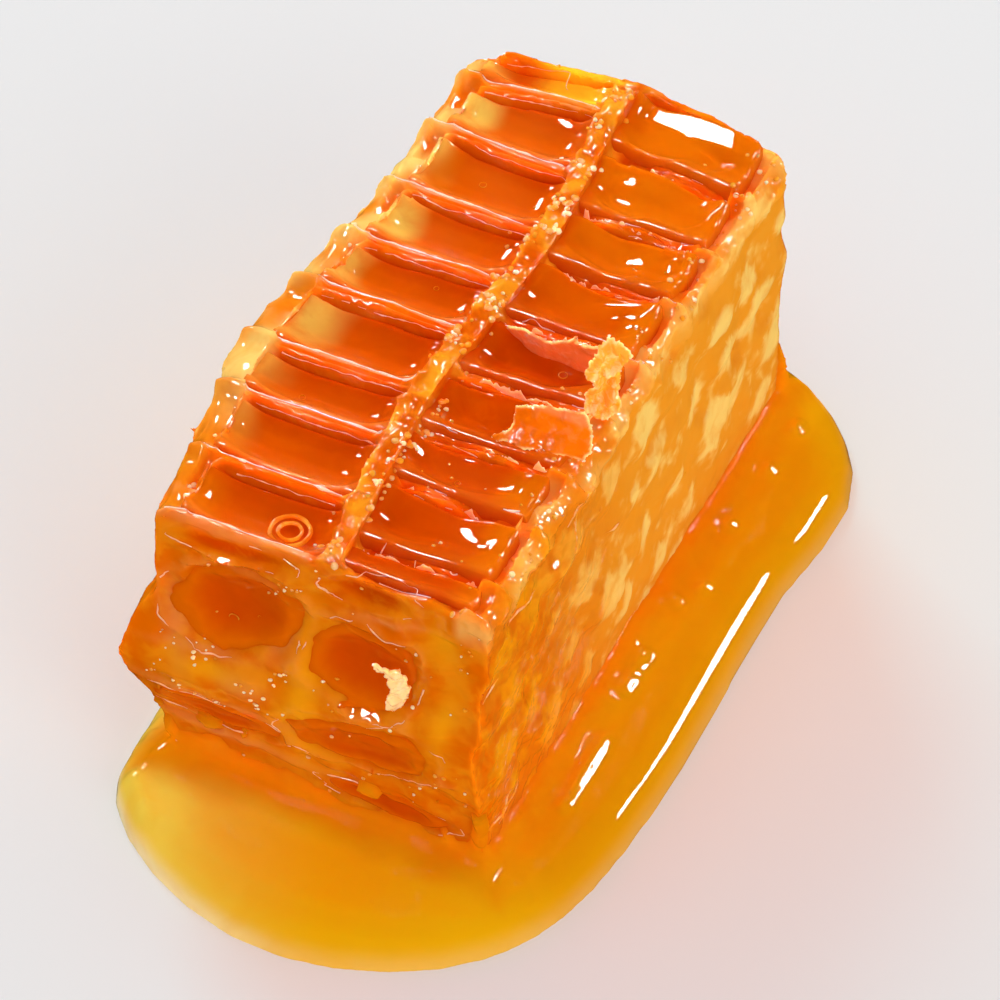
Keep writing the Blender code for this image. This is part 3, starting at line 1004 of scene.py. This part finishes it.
shredLook = {
    "pale": paint(255, 226, 160),
    "salmon": paint(255, 196, 140),
    # pale lines along the wall crests: painted highlights
    "crest": paint(255, 222, 186),
    # near white beads: painted highlights
    "bright": paint(255, 232, 170),
    "amber": paint(244, 160, 40),
    "flap": paint(220, 110, 8),
    "film": paint(240, 168, 62),
    "fold": paint(255, 216, 124),
    "blush": paint(230, 124, 70),
    "rim": paint(255, 228, 150),
    "cloud": paint(255, 240, 200),
    "radius": (0.0005, 0.0003, 0.0001),
    "roughness": 0.15,
}


def shredFinish(name, tone, amount):
    look = {**shredLook, "grain": (1300.0, amount, 2500.0, 0.3)}
    return wetFinish(name, look, look[tone], look[tone])


shredPale = shredFinish("shredPale", "pale", 0.5)
shredSalmon = shredFinish("shredSalmon", "salmon", 0.3)
# painted highlights along the wall crests
crestHighlight = shredFinish("crestHighlight", "crest", 0.3)
shredHighlight = shredFinish("shredHighlight", "bright", 0.5)
shredAmber = shredFinish("shredAmber", "amber", 0.4)


def makeLines(name, lines, finish, thickness):
    # every line is a row of places, each with its share of the thickness
    curve = bpy.data.curves.new(name, "CURVE")
    curve.dimensions = "3D"
    curve.bevel_depth = thickness
    curve.bevel_resolution = 2
    curve.resolution_u = 4
    for line in lines:
        spline = curve.splines.new("NURBS")
        spline.points.add(len(line) - 1)
        spline.use_endpoint_u = True
        spline.order_u = 3
        for point, (place, share) in zip(spline.points, line):
            point.co = (*place, 1)
            point.radius = share
    curve.materials.append(finish)
    piece = bpy.data.objects.new(name, curve)
    bpy.context.scene.collection.objects.link(piece)
    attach(piece, "root")
    print(name, "made with", len(lines), "lines")


def makeBeads(name, beads, finish):
    parts = []
    for place, radius, flat in beads:
        bm = bmesh.new()
        size = Matrix.Diagonal((1, 1, flat, 1))
        bmesh.ops.create_icosphere(bm, subdivisions=2, radius=radius, matrix=Matrix.Translation(place) @ size)
        for v in bm.verts:
            v.co += v.normal * 0.4 * radius * waves(v.co, radius * 1.2, 5)
        parts.append(bm)
    piece = pieceFrom(parts, name)
    finished(piece, finish)


def dropOn(tree, x, y):
    # what lies below, seen from above
    return tree.ray_cast(Vector((x, y, 40 * mm)), -up)[0]


def cutRun(lines, run, least=2):
    # a run of places becomes a line where it is long enough, and a new run starts
    if len(run) > least:
        lines.append(run)
    return []


lineLook = {
    "contact": {"thickness": 0.04 * mm, "height": 23.95 * mm, "steps": 34,
                "broken": {"left": 0.04, "right": 0.4}},      # chance that a step is left out
    "crest": {"thickness": 0.10 * mm, "steps": 46},
    "end": {"thickness": 0.06 * mm, "steps": 120, "circle": 1.10},
    "strand": {"thickness": 0.09 * mm, "count": 9, "heights": (2.5, 24.0), "steps": (4, 9),
               "stride": 0.5 * mm, "swerve": 0.4},
}


def makeContactLines(combTree):
    # a broken line of pale wax where the honey meets the front of each wall; its paleness is partly a painted
    # sheen
    look = lineLook["contact"]
    luck = random.Random(5)
    lines = []
    for side in ("left", "right"):
        for front, back, low, high in topChannels(side):
            line = []
            for step in range(look["steps"] + 1):
                x = low + (high - low) * step / look["steps"]
                start = Vector((x, (front + back) / 2, look["height"]))
                away = wallAway(combTree, start)
                broken = luck.random() < look["broken"][side]
                if away < 2.6 * mm and asideOf(start) < 8.7 * mm and not broken:
                    z = start.z + 0.16 * mm * rough(start, 1.1 * mm, 40)
                    share = 0.35 + 1.3 * luck.random() ** 3
                    line.append((Vector((x, start.y + away - 0.04 * mm, z)), share))
                else:
                    line = cutRun(lines, line)
            cutRun(lines, line)
    makeLines("contactLines", lines, shredSalmon, look["thickness"])


def evenOut(places, axis):
    for before, place, after in zip(places, places[1:], places[2:]):
        setattr(place, axis, (getattr(before, axis) + 2 * getattr(place, axis) + getattr(after, axis)) / 4)


def makeCrestHighlights(combTree, wetTree):
    # a thin bright line along the back of each wall's top: a painted highlight
    look = lineLook["crest"]
    lines = []
    for side, row in ((-1, "left"), (1, "right")):
        for wall in walls[row][:-1]:
            line = []
            for step in range(look["steps"] + 1):
                x = side * (1.3 + 9.2 * step / look["steps"]) * mm
                tops = []
                for back in range(16):
                    y = wall + (back * 0.1 - 0.5) * mm
                    tops.append(dropOn(combTree, x, y) or Vector((x, y, 0)))
                high = max(top.z for top in tops)
                edges = [top for top in tops if top.z > high - 0.10 * mm]
                torn = rough(Vector((x, wall, 0)), 2.0 * mm, 41)
                if high > 23.2 * mm and (side < 0 or torn > 0.12):
                    share = 0.55 + 0.9 * max(rough(Vector((x, wall, 0)), 0.9 * mm, 42), -0.2)
                    share *= 1.0 if side < 0 else 0.7
                    line.append((edges[-1], share))
                else:
                    line = cutRun(lines, line)
            cutRun(lines, line)
    for line in lines:
        places = [place for place, share in line]
        evenOut(places, "y")
        for place in places:
            place.z = max(dropOn(wetTree, place.x, place.y).z, place.z - 0.1 * mm)
        evenOut(places, "z")
    makeLines("crestHighlights", lines, crestHighlight, look["thickness"])


def makeEndLines(tree):
    # torn edges of the opened cells in the two ends
    look = lineLook["end"]
    lines = []
    for name, face in ends:
        for hollow in endHollows[name]:
            line = []
            for step in range(look["steps"] + 1):
                turn = 2 * math.pi * step / look["steps"]
                reach = look["circle"]
                for attempt in range(3):
                    x, z = hollowPoint(hollow, turn, reach)
                    reach *= look["circle"] / hollowReach(x, z, hollow, face)
                x, z = hollowPoint(hollow, turn, reach)
                hit = tree.ray_cast(Vector((x, face * 40 * mm, z)), Vector((0, -face, 0)))[0]
                share = 1.6 * rough(Vector((x, face * 3 * mm, z)), 1.7 * mm, 43) + 0.15
                if hit is not None and abs(hit.y) > 21 * mm and share > 0.1:
                    line.append((hit, min(share, 1.3)))
                else:
                    line = cutRun(lines, line, 3)
            cutRun(lines, line, 3)
    makeLines("endLines", lines, shredSalmon, look["thickness"])


beadFields = {
    # count, reach along x, reach along y or z, radii in mm, how clustered, and from which side
    "combBeads": ((300, (-1.0, 1.0), (-22, 22), (0.10, 0.28), 0.04, "top"),
                  (50, (-2.2, -0.7), (-20, 22), (0.08, 0.20), 0.12, "top"),
                  (150, (8.6, 10.9), (-22, 22), (0.07, 0.22), 0.05, "top"),
                  (60, (1.5, 9.0), (-21, 20), (0.06, 0.15), 0.10, "top"),
                  (160, (-11.0, 10.0), (3.5, 24), (0.06, 0.16), 0.12, "front")),
    # pale beads that stand in for glints: painted highlights on small bits of wax
    "highlightBeads": ((210, (-0.9, 1.2), (-18, 22), (0.08, 0.26), 0.16, "top"),
                    (26, (-1.9, -0.8), (-21, 22), (0.12, 0.30), 0.05, "top"),
                    (60, (8.8, 10.8), (-21, 20), (0.08, 0.22), 0.14, "top"),
                    (16, (-10.8, -9.6), (-22, 22), (0.12, 0.28), 0.05, "top"),
                    (120, (-11.4, -2.0), (9.6, 14.6), (0.05, 0.17), 0.08, "front"),
                    (40, (-3.5, 1.0), (13, 24), (0.05, 0.18), 0.08, "front"),
                    (30, (5.0, 10.5), (6, 24), (0.05, 0.15), 0.12, "front")),
}


def makeBeadsOnComb(tree):
    luck = random.Random(8)
    for (name, fields), finish in zip(beadFields.items(), (shredAmber, shredHighlight)):
        beads = []
        for count, xs, others, sizes, clustered, side in fields:
            for attempt in range(count):
                x, other = luck.uniform(*xs) * mm, luck.uniform(*others) * mm
                radius, flat = luck.uniform(*sizes) * mm, luck.uniform(0.45, 0.9)
                if rough(Vector((x, other, 0)), 2.2 * mm, 50) < clustered:
                    continue
                if side == "top":
                    hit = dropOn(tree, x, other)
                else:
                    hit = tree.ray_cast(Vector((x, -40 * mm, other)), backward)[0]
                if hit is not None and (side == "top" or hit.y < -21 * mm):
                    beads.append((hit, radius, flat))
        makeBeads(name, beads, finish)


def makeStrands(tree):
    # thin wet strands that run over the capped side near the front
    look = lineLook["strand"]
    luck = random.Random(21)
    lines = []
    for attempt in range(look["count"]):
        y = (-21.5 + 19 * luck.random() ** 1.4) * mm
        z = luck.uniform(*look["heights"]) * mm
        heading = luck.uniform(-0.9, 0.9) + (math.pi if luck.random() < 0.5 else 0)
        line = []
        steps = luck.randint(*look["steps"])
        for step in range(steps):
            hit = tree.ray_cast(Vector((20 * mm, y, z)), Vector((-1, 0, 0)))[0]
            if hit is None or hit.x < 9.0 * mm:
                break
            share = math.sin(math.pi * (step + 0.5) / steps) * luck.uniform(0.6, 1.2)
            line.append((hit + Vector((0.02 * mm, 0, 0)), share))
            heading += luck.uniform(-look["swerve"], look["swerve"])
            y += look["stride"] * math.cos(heading)
            z += look["stride"] * math.sin(heading)
        cutRun(lines, line, 3)
    makeLines("sideStrands", lines, shredAmber, look["thickness"])


finLook = {
    "start": 1.5,             # in mm, as is its reach along x
    "reach": 7.4,
    "grid": (70, 5),
    "tall": 0.7 * mm,
    "root": 0.3 * mm,         # how deep a fin is set in its wall
    "lean": 1.1,
    "sway": (0.8 * mm, 0.12 * mm),
    "thickness": 0.08 * mm,
}


def makeFins(combTree):
    # thin torn edges that stand on the walls of the right row
    look, parts = finLook, []
    columns, rows = look["grid"]
    for number, middle in enumerate(walls["right"][1:-1]):
        bm = bmesh.new()
        bmesh.ops.create_grid(bm, x_segments=columns, y_segments=rows, size=0.5)
        for v in bm.verts:
            x = look["start"] * mm + (v.co.x + 0.5) * look["reach"] * mm
            share = v.co.y + 0.5
            torn = rough(Vector((x, number * 9 * mm, 0)), 1.3 * mm, 60)
            torn += 0.5 * rough(Vector((x, number * 5 * mm, 0)), 0.4 * mm, 61)
            tall = max(look["tall"] * (torn + 0.10), -look["root"])
            lean = waves(Vector((x, number * 7 * mm, 0)), 2.6 * mm, 62) * look["lean"]
            hit = dropOn(combTree, x, middle)
            ground = (hit.z if hit is not None else 24.4 * mm) - look["root"]
            z = ground + share * (tall + look["root"])
            size, sway = look["sway"]
            y = middle + lean * share * tall + sway * waves(Vector((x, number * 3 * mm, z)), size, 63)
            v.co = Vector((x, y, z))
        parts.append(bm)
    piece = pieceFrom(parts, "wallFins")
    applied(piece, "SOLIDIFY", thickness=look["thickness"], offset=0.0)
    finished(piece, shredSalmon)


# the torn scraps, each a thin sheet cut to its ragged outline, with all its lengths in mm

sheetStep = 0.085 * mm
sheetLooks = {
    "scrapFlap": {
        "nodes": ("torn_flap",), "place": (7.3, -9.0, 25.9), "lean": -46, "turn": -4, "bend": 0.10,
        "crease": (1.3, 0.30), "jag": 0.06, "cloudy": 0.05, "folds": 0.0, "thickness": 0.10, "finish": "flap",
        "blush": 1.9, "beads": 0.16,
        "outline": (
            (-1.46, 1.71), (-0.07, 2.29), (1.56, 2.72), (2.76, 2.97), (3.0, 2.6), (3.42, 1.92), (3.66, 0.66),
            (3.45, 0.07), (2.63, 0.05), (1.67, -0.1), (0.85, -0.22), (0.18, -0.53), (-0.46, -0.52),
            (-1.2, -0.47), (-2.07, -0.77), (-2.43, -0.57), (-2.16, -0.34), (-1.48, 0.1), (-1.29, 0.85)),
    },
    "scrapCorner": {
        "nodes": ("torn_corner",), "place": (9.6, -4.2, 26.0), "lean": -12, "turn": 24, "bend": -0.08,
        "crease": (0.7, 0.80), "jag": 0.12, "cloudy": 0.45, "folds": 1.0, "thickness": 0.10, "finish": "film",
        "blush": 9.0, "beads": 0.14,
        "outline": (
            (-0.66, 2.01), (-0.43, 2.59), (0.65, 3.9), (1.13, 3.83), (1.6, 3.65), (2.16, 3.42), (2.01, 2.94),
            (1.47, 1.87), (1.48, 1.39), (1.4, 0.5), (1.6, -0.15), (1.36, -0.64), (0.89, -1.03), (0.1, -1.34),
            (-0.37, -1.74), (-0.61, -1.56), (-0.26, -0.97), (-0.62, -0.59), (-0.75, -0.21), (-0.56, 0.38),
            (-0.25, 0.87), (0.02, 1.25), (-0.58, 1.73)),
    },
    "scrapWall": {
        "nodes": ("torn_wall",), "place": (4.9, -0.4, 23.6), "lean": 4, "turn": -6, "bend": 0.04,
        "crease": (1.6, 0.14), "jag": 0.08, "cloudy": 0.10, "folds": 0.0, "thickness": 0.16,
        "finish": "blush", "blush": -9.0, "beads": 0.08,
        "outline": (
            (-3.51, 0.75), (-2.69, 1.35), (-1.45, 1.8), (-0.23, 1.9), (1.01, 2.5), (2.0, 3.5), (1.85, 2.9),
            (2.97, 2.9), (3.9, 3.2), (3.5, 2.3), (3.6, 0.2), (2.9, -0.4), (-3.0, -0.3)),
    },
    "scrapFront": {
        "nodes": ("torn_front",), "place": (5.0, -22.9, 14.3), "lean": -4, "turn": 16, "bend": 0.10,
        "crease": (0.7, 0.40), "jag": 0.12, "cloudy": 0.40, "folds": 1.0, "thickness": 0.20, "finish": "pale",
        "blush": 9.0, "beads": 0.2,
        "outline": (
            (0.1, 0.0), (0.5, 0.1), (0.9, 1.2), (1.1, 2.6), (0.95, 4.0), (0.7, 5.5), (0.25, 5.3), (0.0, 5.7),
            (-0.7, 5.9), (-0.9, 5.4), (-0.2, 4.4), (-0.1, 3.2), (0.05, 2.2), (-0.35, 1.2), (-0.2, 0.3)),
    },
}


def insideOf(outline, x, y):
    inside = False
    for (ax, ay), (bx, by) in zip(outline, outline[1:] + outline[:1]):
        if (ay > y) != (by > y) and x < (bx - ax) * (y - ay) / (by - ay) + ax:
            inside = not inside
    return inside


def sheetFinish(sheet):
    look = {**shredLook, "grain": (1300.0, sheet["cloudy"], 1800.0, 0.3)}

    def coloured(tree):
        return layered(tree, look[sheet["finish"]], look, "blush", "fold", "rim")

    return wetFinish("wax" + sheet["finish"].title(), look, coloured, look["amber"])


def makeSheet(name, look, rimBeads):
    outline = look["outline"]
    lows = [min(p[i] for p in outline) - 0.1 for i in (0, 1)]
    highs = [max(p[i] for p in outline) + 0.1 for i in (0, 1)]
    spans = [highs[i] - lows[i] for i in (0, 1)]
    bm = bmesh.new()
    steps = [int(span * mm / sheetStep) for span in spans]
    bmesh.ops.create_grid(bm, x_segments=steps[0], y_segments=steps[1], size=0.5)
    for v in bm.verts:
        v.co = Vector([lows[i] + (v.co[i] + 0.5) * spans[i] for i in (0, 1)] + [0])

    def outside(face):
        spot = face.calc_center_median()
        jag = look["jag"] * rough(spot * mm, 0.5 * mm, 80)
        return not insideOf(outline, spot.x + jag, spot.y - jag)

    bmesh.ops.delete(bm, geom=[f for f in bm.faces if outside(f)], context="FACES")
    size, height = look["crease"]
    lean, turn = math.radians(look["lean"]), math.radians(look["turn"])
    place = (Matrix.Translation(Vector(look["place"]) * mm) @ Matrix.Rotation(turn, 4, "Z")
             @ Matrix.Rotation(lean, 4, "X"))
    rims = [v for v in bm.verts if v.is_boundary]
    for v in bm.verts:
        across, tall = v.co.x, v.co.y
        fold = height * rough(v.co * mm, size * mm, 81) + look["bend"] * (across * across - 0.6 * tall * tall)
        v.co = place @ (Vector((across, fold, tall)) * mm)
    bmesh.ops.smooth_vert(bm, verts=bm.verts[:], factor=0.5,
                          use_axis_x=True, use_axis_y=True, use_axis_z=True)
    luck = random.Random(len(name))
    rimTree = KDTree(len(rims))
    for number, v in enumerate(rims):
        rimTree.insert(v.co, number)
        if luck.random() < look["beads"] * 0.35:
            rimBeads.append((v.co.copy(), luck.uniform(0.04, 0.11) * mm, 0.8))
    rimTree.balance()
    bmesh.ops.recalc_face_normals(bm, faces=bm.faces[:])
    piece = pieceFrom([bm], name)
    applied(piece, "SOLIDIFY", thickness=look["thickness"] * mm, offset=0.0)
    toSheet = place.inverted()

    def rim(v):
        near = 1 - easeMm(0.05, 0.17, rimTree.find(v.co)[2])
        return near * ease(-0.3, 0.2, waves(v.co, 0.9 * mm, 84))

    def fold(v):
        line = 1 - ease(0.0, 0.07, abs(rough(v.co, 1.5 * mm, 82)))
        return look["folds"] * line * ease(-0.1, 0.2, waves(v.co, 1.1 * mm, 83))

    def blush(v):
        return ease(look["blush"] * mm, (look["blush"] + 0.4) * mm, (toSheet @ v.co).z)

    paintMasks(piece, (("rim", rim), ("fold", fold), ("blush", blush)))
    finished(piece, sheetFinish(look), look["nodes"])


def makeScraps():
    rimBeads = []
    for name, look in sheetLooks.items():
        makeSheet(name, look, rimBeads)
    makeBeads("rimBeads", rimBeads, shredPale)


# the pool, with the film of honey that climbs the foot of the block

poolLook = {
    "voxel": 0.24 * mm,
    "sink": 0.25 * mm,
    "inset": 0.45 * mm,
    "film": 0.45 * mm,
    "uneven": (3.2 * mm, 0.22 * mm),      # size and height of the relief where the pool climbs the block
    "filmTop": {"front": 5.2 * mm, "side": 1.4 * mm},
    "triangles": 180000,
}
# small wet ridges of the pool: from where to where, half width and height, in mm
poolRidges = (
    ((13.0, -9.8), (13.1, -15.6), 0.48, 0.345), ((12.4, -2.4), (12.5, -5.7), 0.44, 0.315),
    ((12.6, 9.8), (12.6, 10.2), 0.42, 0.36), ((12.9, 15.0), (12.9, 15.5), 0.42, 0.36),
    ((13.0, 19.4), (13.0, 19.9), 0.42, 0.36), ((12.2, 2.4), (12.3, 2.6), 0.40, 0.34),
    ((13.3, 4.2), (13.4, 4.6), 0.36, 0.30), ((-11.9, -24.9), (-9.9, -27.1), 0.70, 0.60),
)


def ridgeGap(co, ridge):
    # distance from the middle of a ridge, as a share of its half width
    start, end = (Vector((x, y)) * mm for x, y in ridge[:2])
    along = end - start
    share = min(max((co.xy - start).dot(along) / along.length_squared, 0.0), 1.0)
    return (co.xy - start - along * share).length / (ridge[2] * mm)


def makeFilm(source):
    look = poolLook
    bm = meshOf(source)

    def wet(face):
        co, normal = face.calc_center_median(), face.normal
        end = abs(co.y) > 21 * mm and abs(normal.y) > 0.35
        side = abs(co.x) > 10.3 * mm and abs(normal.x) > 0.35
        return (end or side) and 0.3 * mm < co.z < 7.5 * mm

    bmesh.ops.delete(bm, geom=[f for f in bm.faces if not wet(f)], context="FACES")
    for v in bm.verts:
        front = easeMm(-21, -22, v.co.y)
        top = look["filmTop"]["side"] + front * (look["filmTop"]["front"] - look["filmTop"]["side"])
        top += 1.3 * mm * waves(v.co, 4.0 * mm, 8) * (0.5 + front)
        thick = look["film"] * (0.35 + 0.65 * easeMm(3, -8, v.co.y))
        v.co += v.normal * (thick * (1 - ease(top * 0.45, top, v.co.z)) - 0.15 * mm)
    film = pieceFrom([bm], "film")
    applied(film, "SOLIDIFY", thickness=0.5 * mm, offset=-1.0)
    bm = meshOf(film)
    bpy.data.objects.remove(film)
    return bm


poolPaint = {
    "front": paint(238, 178, 10),
    "right": paint(228, 158, 6),
    "left": paint(242, 208, 76),
    "thin": paint(252, 236, 190),
    "nearFoot": paint(228, 134, 6),
    "cloud": paint(238, 168, 14),
    "radius": (0.0030, 0.0016, 0.0004),
    "roughness": 0.2,
    "grain": (120.0, 0.3, 300.0, 0.02),
}


def paintPool(piece):
    colours = poolPaint

    def leftward(co):
        return easeMm(2, -13, co.x + 0.35 * (co.y + 24 * mm))

    def thin(v):
        shallow = 1 - easeMm(0.2, 1.5, v.co.z)
        return shallow * (0.15 + 0.85 * leftward(v.co))

    def nearFoot(v):
        gap = max(abs(v.co.x) - foot["x"], abs(v.co.y) - foot["y"])
        return 1 - easeMm(0.4, 3.0, gap + 0.8 * mm * waves(v.co, 3 * mm, 71))

    def shiny(v):
        # beside the right foot only the ridges are glossy
        gap = v.co.x - foot["x"]
        near = easeMm(-0.3, 0.2, gap) * easeMm(3.6, 2.4, gap) * easeMm(-23.5, -21.5, v.co.y)
        ridged = max(ease(2.2, 1.2, ridgeGap(v.co, ridge)) for ridge in poolRidges)
        return 1 - near * (1 - ridged)

    def right(v):
        return easeMm(0, 11, v.co.x) * easeMm(-27, -20, v.co.y)

    paintMasks(piece, (("shiny", shiny), ("right", right), ("left", lambda v: leftward(v.co)), ("thin", thin),
                       ("nearFoot", nearFoot)))

    def coloured(tree):
        return layered(tree, colours["front"], colours, "right", "left", "nearFoot", "thin")

    finish = wetFinish("honeyPool", colours, coloured, shadowTint, "shiny")
    finished(piece, finish, ("honey_pool",))


def makePool(source):
    look = poolLook
    bm = nodeMesh("honey_pool")
    bmesh.ops.join_triangles(bm, faces=bm.faces[:], angle_face_threshold=0.7, angle_shape_threshold=0.7)
    for v in bm.verts:
        if abs(v.co.x) < foot["x"] + 0.4 * mm and abs(v.co.y) < foot["y"] + 0.4 * mm:
            v.co.x = min(max(v.co.x, look["inset"] - foot["x"]), foot["x"] - look["inset"])
            v.co.y = min(max(v.co.y, look["inset"] - foot["y"]), foot["y"] - look["inset"])
        if v.co.z < 0.05 * mm:
            v.co.z = -look["sink"]
    piece = pieceFrom([bm, makeFilm(source)], "honeyPool")
    remesh(piece, look["voxel"], 8)

    def uneven(v):
        gap = max(abs(v.co.x) - foot["x"], abs(v.co.y) - foot["y"])
        near = easeMm(-0.5, 0.2, gap) * easeMm(3.4, 1.8, gap) * ease(0.3, 0.8, v.normal.z + 0.3)
        calm = 0.35 if v.co.y < -foot["y"] else 1.0 - 0.5 * easeMm(0, 8, v.co.y)
        size, height = look["uneven"]
        ridges = 0.0
        if v.normal.z > 0.3:
            ridges = sum(ridge[3] * mm * math.exp(-ridgeGap(v.co, ridge) ** 2) for ridge in poolRidges)
        return v.normal * near * calm * height * rough(v.co, size, 72) + up * ridges

    sculpt(piece, uneven)
    lightened(piece, look["triangles"])
    paintPool(piece)


combWax = makeCombWax()
combTree = treeOf([combWax.data])
paintComb(combWax, skinOf(combWax))
cellHoney = makeCellHoney()
makePool(combWax)
wetTree = treeOf([combWax.data, cellHoney.data])
makeBubbles()
makeContactLines(combTree)
makeCrestHighlights(combTree, wetTree)
makeEndLines(wetTree)
makeBeadsOnComb(wetTree)
makeStrands(combTree)
makeFins(combTree)
makeScraps()


# floor, light and camera

def makeStage():
    bm = bmesh.new()
    bmesh.ops.create_grid(bm, x_segments=1, y_segments=1, size=1.5)
    mesh = bpy.data.meshes.new("floor")
    bm.to_mesh(mesh)
    bm.free()
    floor = bpy.data.objects.new("floor", mesh)
    bpy.context.scene.collection.objects.link(floor)
    finish, _, shader, _ = newFinish("paleFloor")
    shader.inputs["Base Color"].default_value = paint(235, 237, 239)
    shader.inputs["Roughness"].default_value = 0.6
    shader.inputs["Specular IOR Level"].default_value = 0.0
    mesh.materials.append(finish)
    floor.visible_glossy = False


# where from, how far, size and power; those named glint are mirrored and light nothing, the others only light
lights = {
    "key": ((-0.62, 0.55, 0.56), 0.6, (0.20, 0.20), 1.3),
    "fill": ((0.78, -0.42, 0.46), 0.6, (0.40, 0.40), 0.85),
    "sideFill": ((0.90, -0.15, 0.35), 0.6, (0.30, 0.30), 0.35),
    "glintLeft": ((-0.62, 0.55, 0.56), 0.58, (0.11, 0.11), 1.1),
    "glintRight": ((0.50, 0.61, 0.61), 0.6, (0.15, 0.13), 2.2),
    "glintRim": ((-0.86, 0.19, 0.49), 0.6, (0.06, 0.14), 0.95),
    "glintFront": ((-0.35, -0.62, 0.70), 0.6, (0.13, 0.13), 2.6),
    "glintSide": ((0.90, 0.35, 0.14), 0.6, (0.12, 0.12), 1.8),
}
warmth = {"fill": (1.0, 0.90, 0.76), "sideFill": (1.0, 0.84, 0.58)}
lampRoll = {"glintRight": -42.0}       # turns its mirror image along the pool's rim, in degrees
combOnly = ("glintFront", "glintSide", "sideFill")    # these reach all but the pool and the floor
skyStops = ((0.08, 0.9), (0.55, 0.54), (0.82, 0.54), (1.0, 1.2))    # height and brightness
cameraLook = {
    "azimuth": 25.62,
    "elevation": 47.45,
    "distance": 0.5,
    "target": (0, -0.75 * mm, 12 * mm),
    "shift": (1.439 * mm, 1.929 * mm),    # to the right and upwards, as the camera sees it
    "lens": 290.2,
}


def makeLights():
    world = bpy.data.worlds.new("studio")
    bpy.context.scene.world = world
    world.use_nodes = True
    tree = world.node_tree
    background = tree.nodes["Background"]
    place = addNode(tree, "ShaderNodeTexCoord")
    split = addNode(tree, "ShaderNodeSeparateXYZ")
    ramp = addNode(tree, "ShaderNodeValToRGB")
    stops = ramp.color_ramp.elements
    for height, brightness in skyStops[1:-1]:
        stops.new(height)
    for stop, (height, brightness) in zip(stops, skyStops):
        stop.position = height
        stop.color = (brightness,) * 3 + (1,)
    tree.links.new(place.outputs["Generated"], split.inputs["Vector"])
    tree.links.new(split.outputs["Z"], ramp.inputs["Fac"])
    tree.links.new(ramp.outputs["Color"], background.inputs["Color"])
    world.cycles_visibility.glossy = False
    centre = Vector((0, 0, 12 * mm))
    wetPieces = bpy.data.collections.new("wetPieces")
    for piece in bpy.context.scene.objects:
        if piece.type in ("MESH", "CURVE") and piece.name not in ("honeyPool", "floor", *frame["nodes"]):
            wetPieces.objects.link(piece)
    for name, (towards, distance, size, power) in lights.items():
        glint = name.startswith("glint")
        data = bpy.data.lights.new(name, "AREA")
        data.shape = "ELLIPSE" if glint else "RECTANGLE"
        data.size, data.size_y = size
        data.energy = power
        data.color = warmth.get(name, (1, 1, 1))
        lamp = bpy.data.objects.new(name, data)
        towards = Vector(towards).normalized()
        lamp.location = centre + towards * distance
        roll = Matrix.Rotation(math.radians(lampRoll.get(name, 0.0)), 3, "Z")
        lamp.rotation_euler = (towards.to_track_quat("Z", "Y").to_matrix() @ roll).to_euler()
        lamp.visible_glossy = glint
        lamp.visible_diffuse = lamp.visible_transmission = not glint
        bpy.context.scene.collection.objects.link(lamp)
        if name in combOnly:
            lamp.light_linking.receiver_collection = wetPieces


def makeCamera():
    look = cameraLook
    azimuth, elevation = math.radians(look["azimuth"]), math.radians(look["elevation"])
    back = Vector((math.sin(azimuth) * math.cos(elevation),
                   -math.cos(azimuth) * math.cos(elevation), math.sin(elevation)))
    right = Vector((math.cos(azimuth), math.sin(azimuth), 0))
    across, upward = look["shift"]
    target = Vector(look["target"]) + right * across - back.cross(right) * upward
    data = bpy.data.cameras.new("camera")
    data.sensor_width = 36
    data.lens = look["lens"]
    data.clip_start = 0.01
    data.clip_end = 10
    camera = bpy.data.objects.new("camera", data)
    camera.location = target + back * look["distance"]
    camera.rotation_euler = back.to_track_quat("Z", "Y").to_euler()
    bpy.context.scene.collection.objects.link(camera)
    bpy.context.scene.camera = camera


makeStage()
makeLights()
makeCamera()
bpy.context.scene.view_settings.view_transform = "Standard"
bpy.context.scene.view_settings.look = "None"
print("stage set")
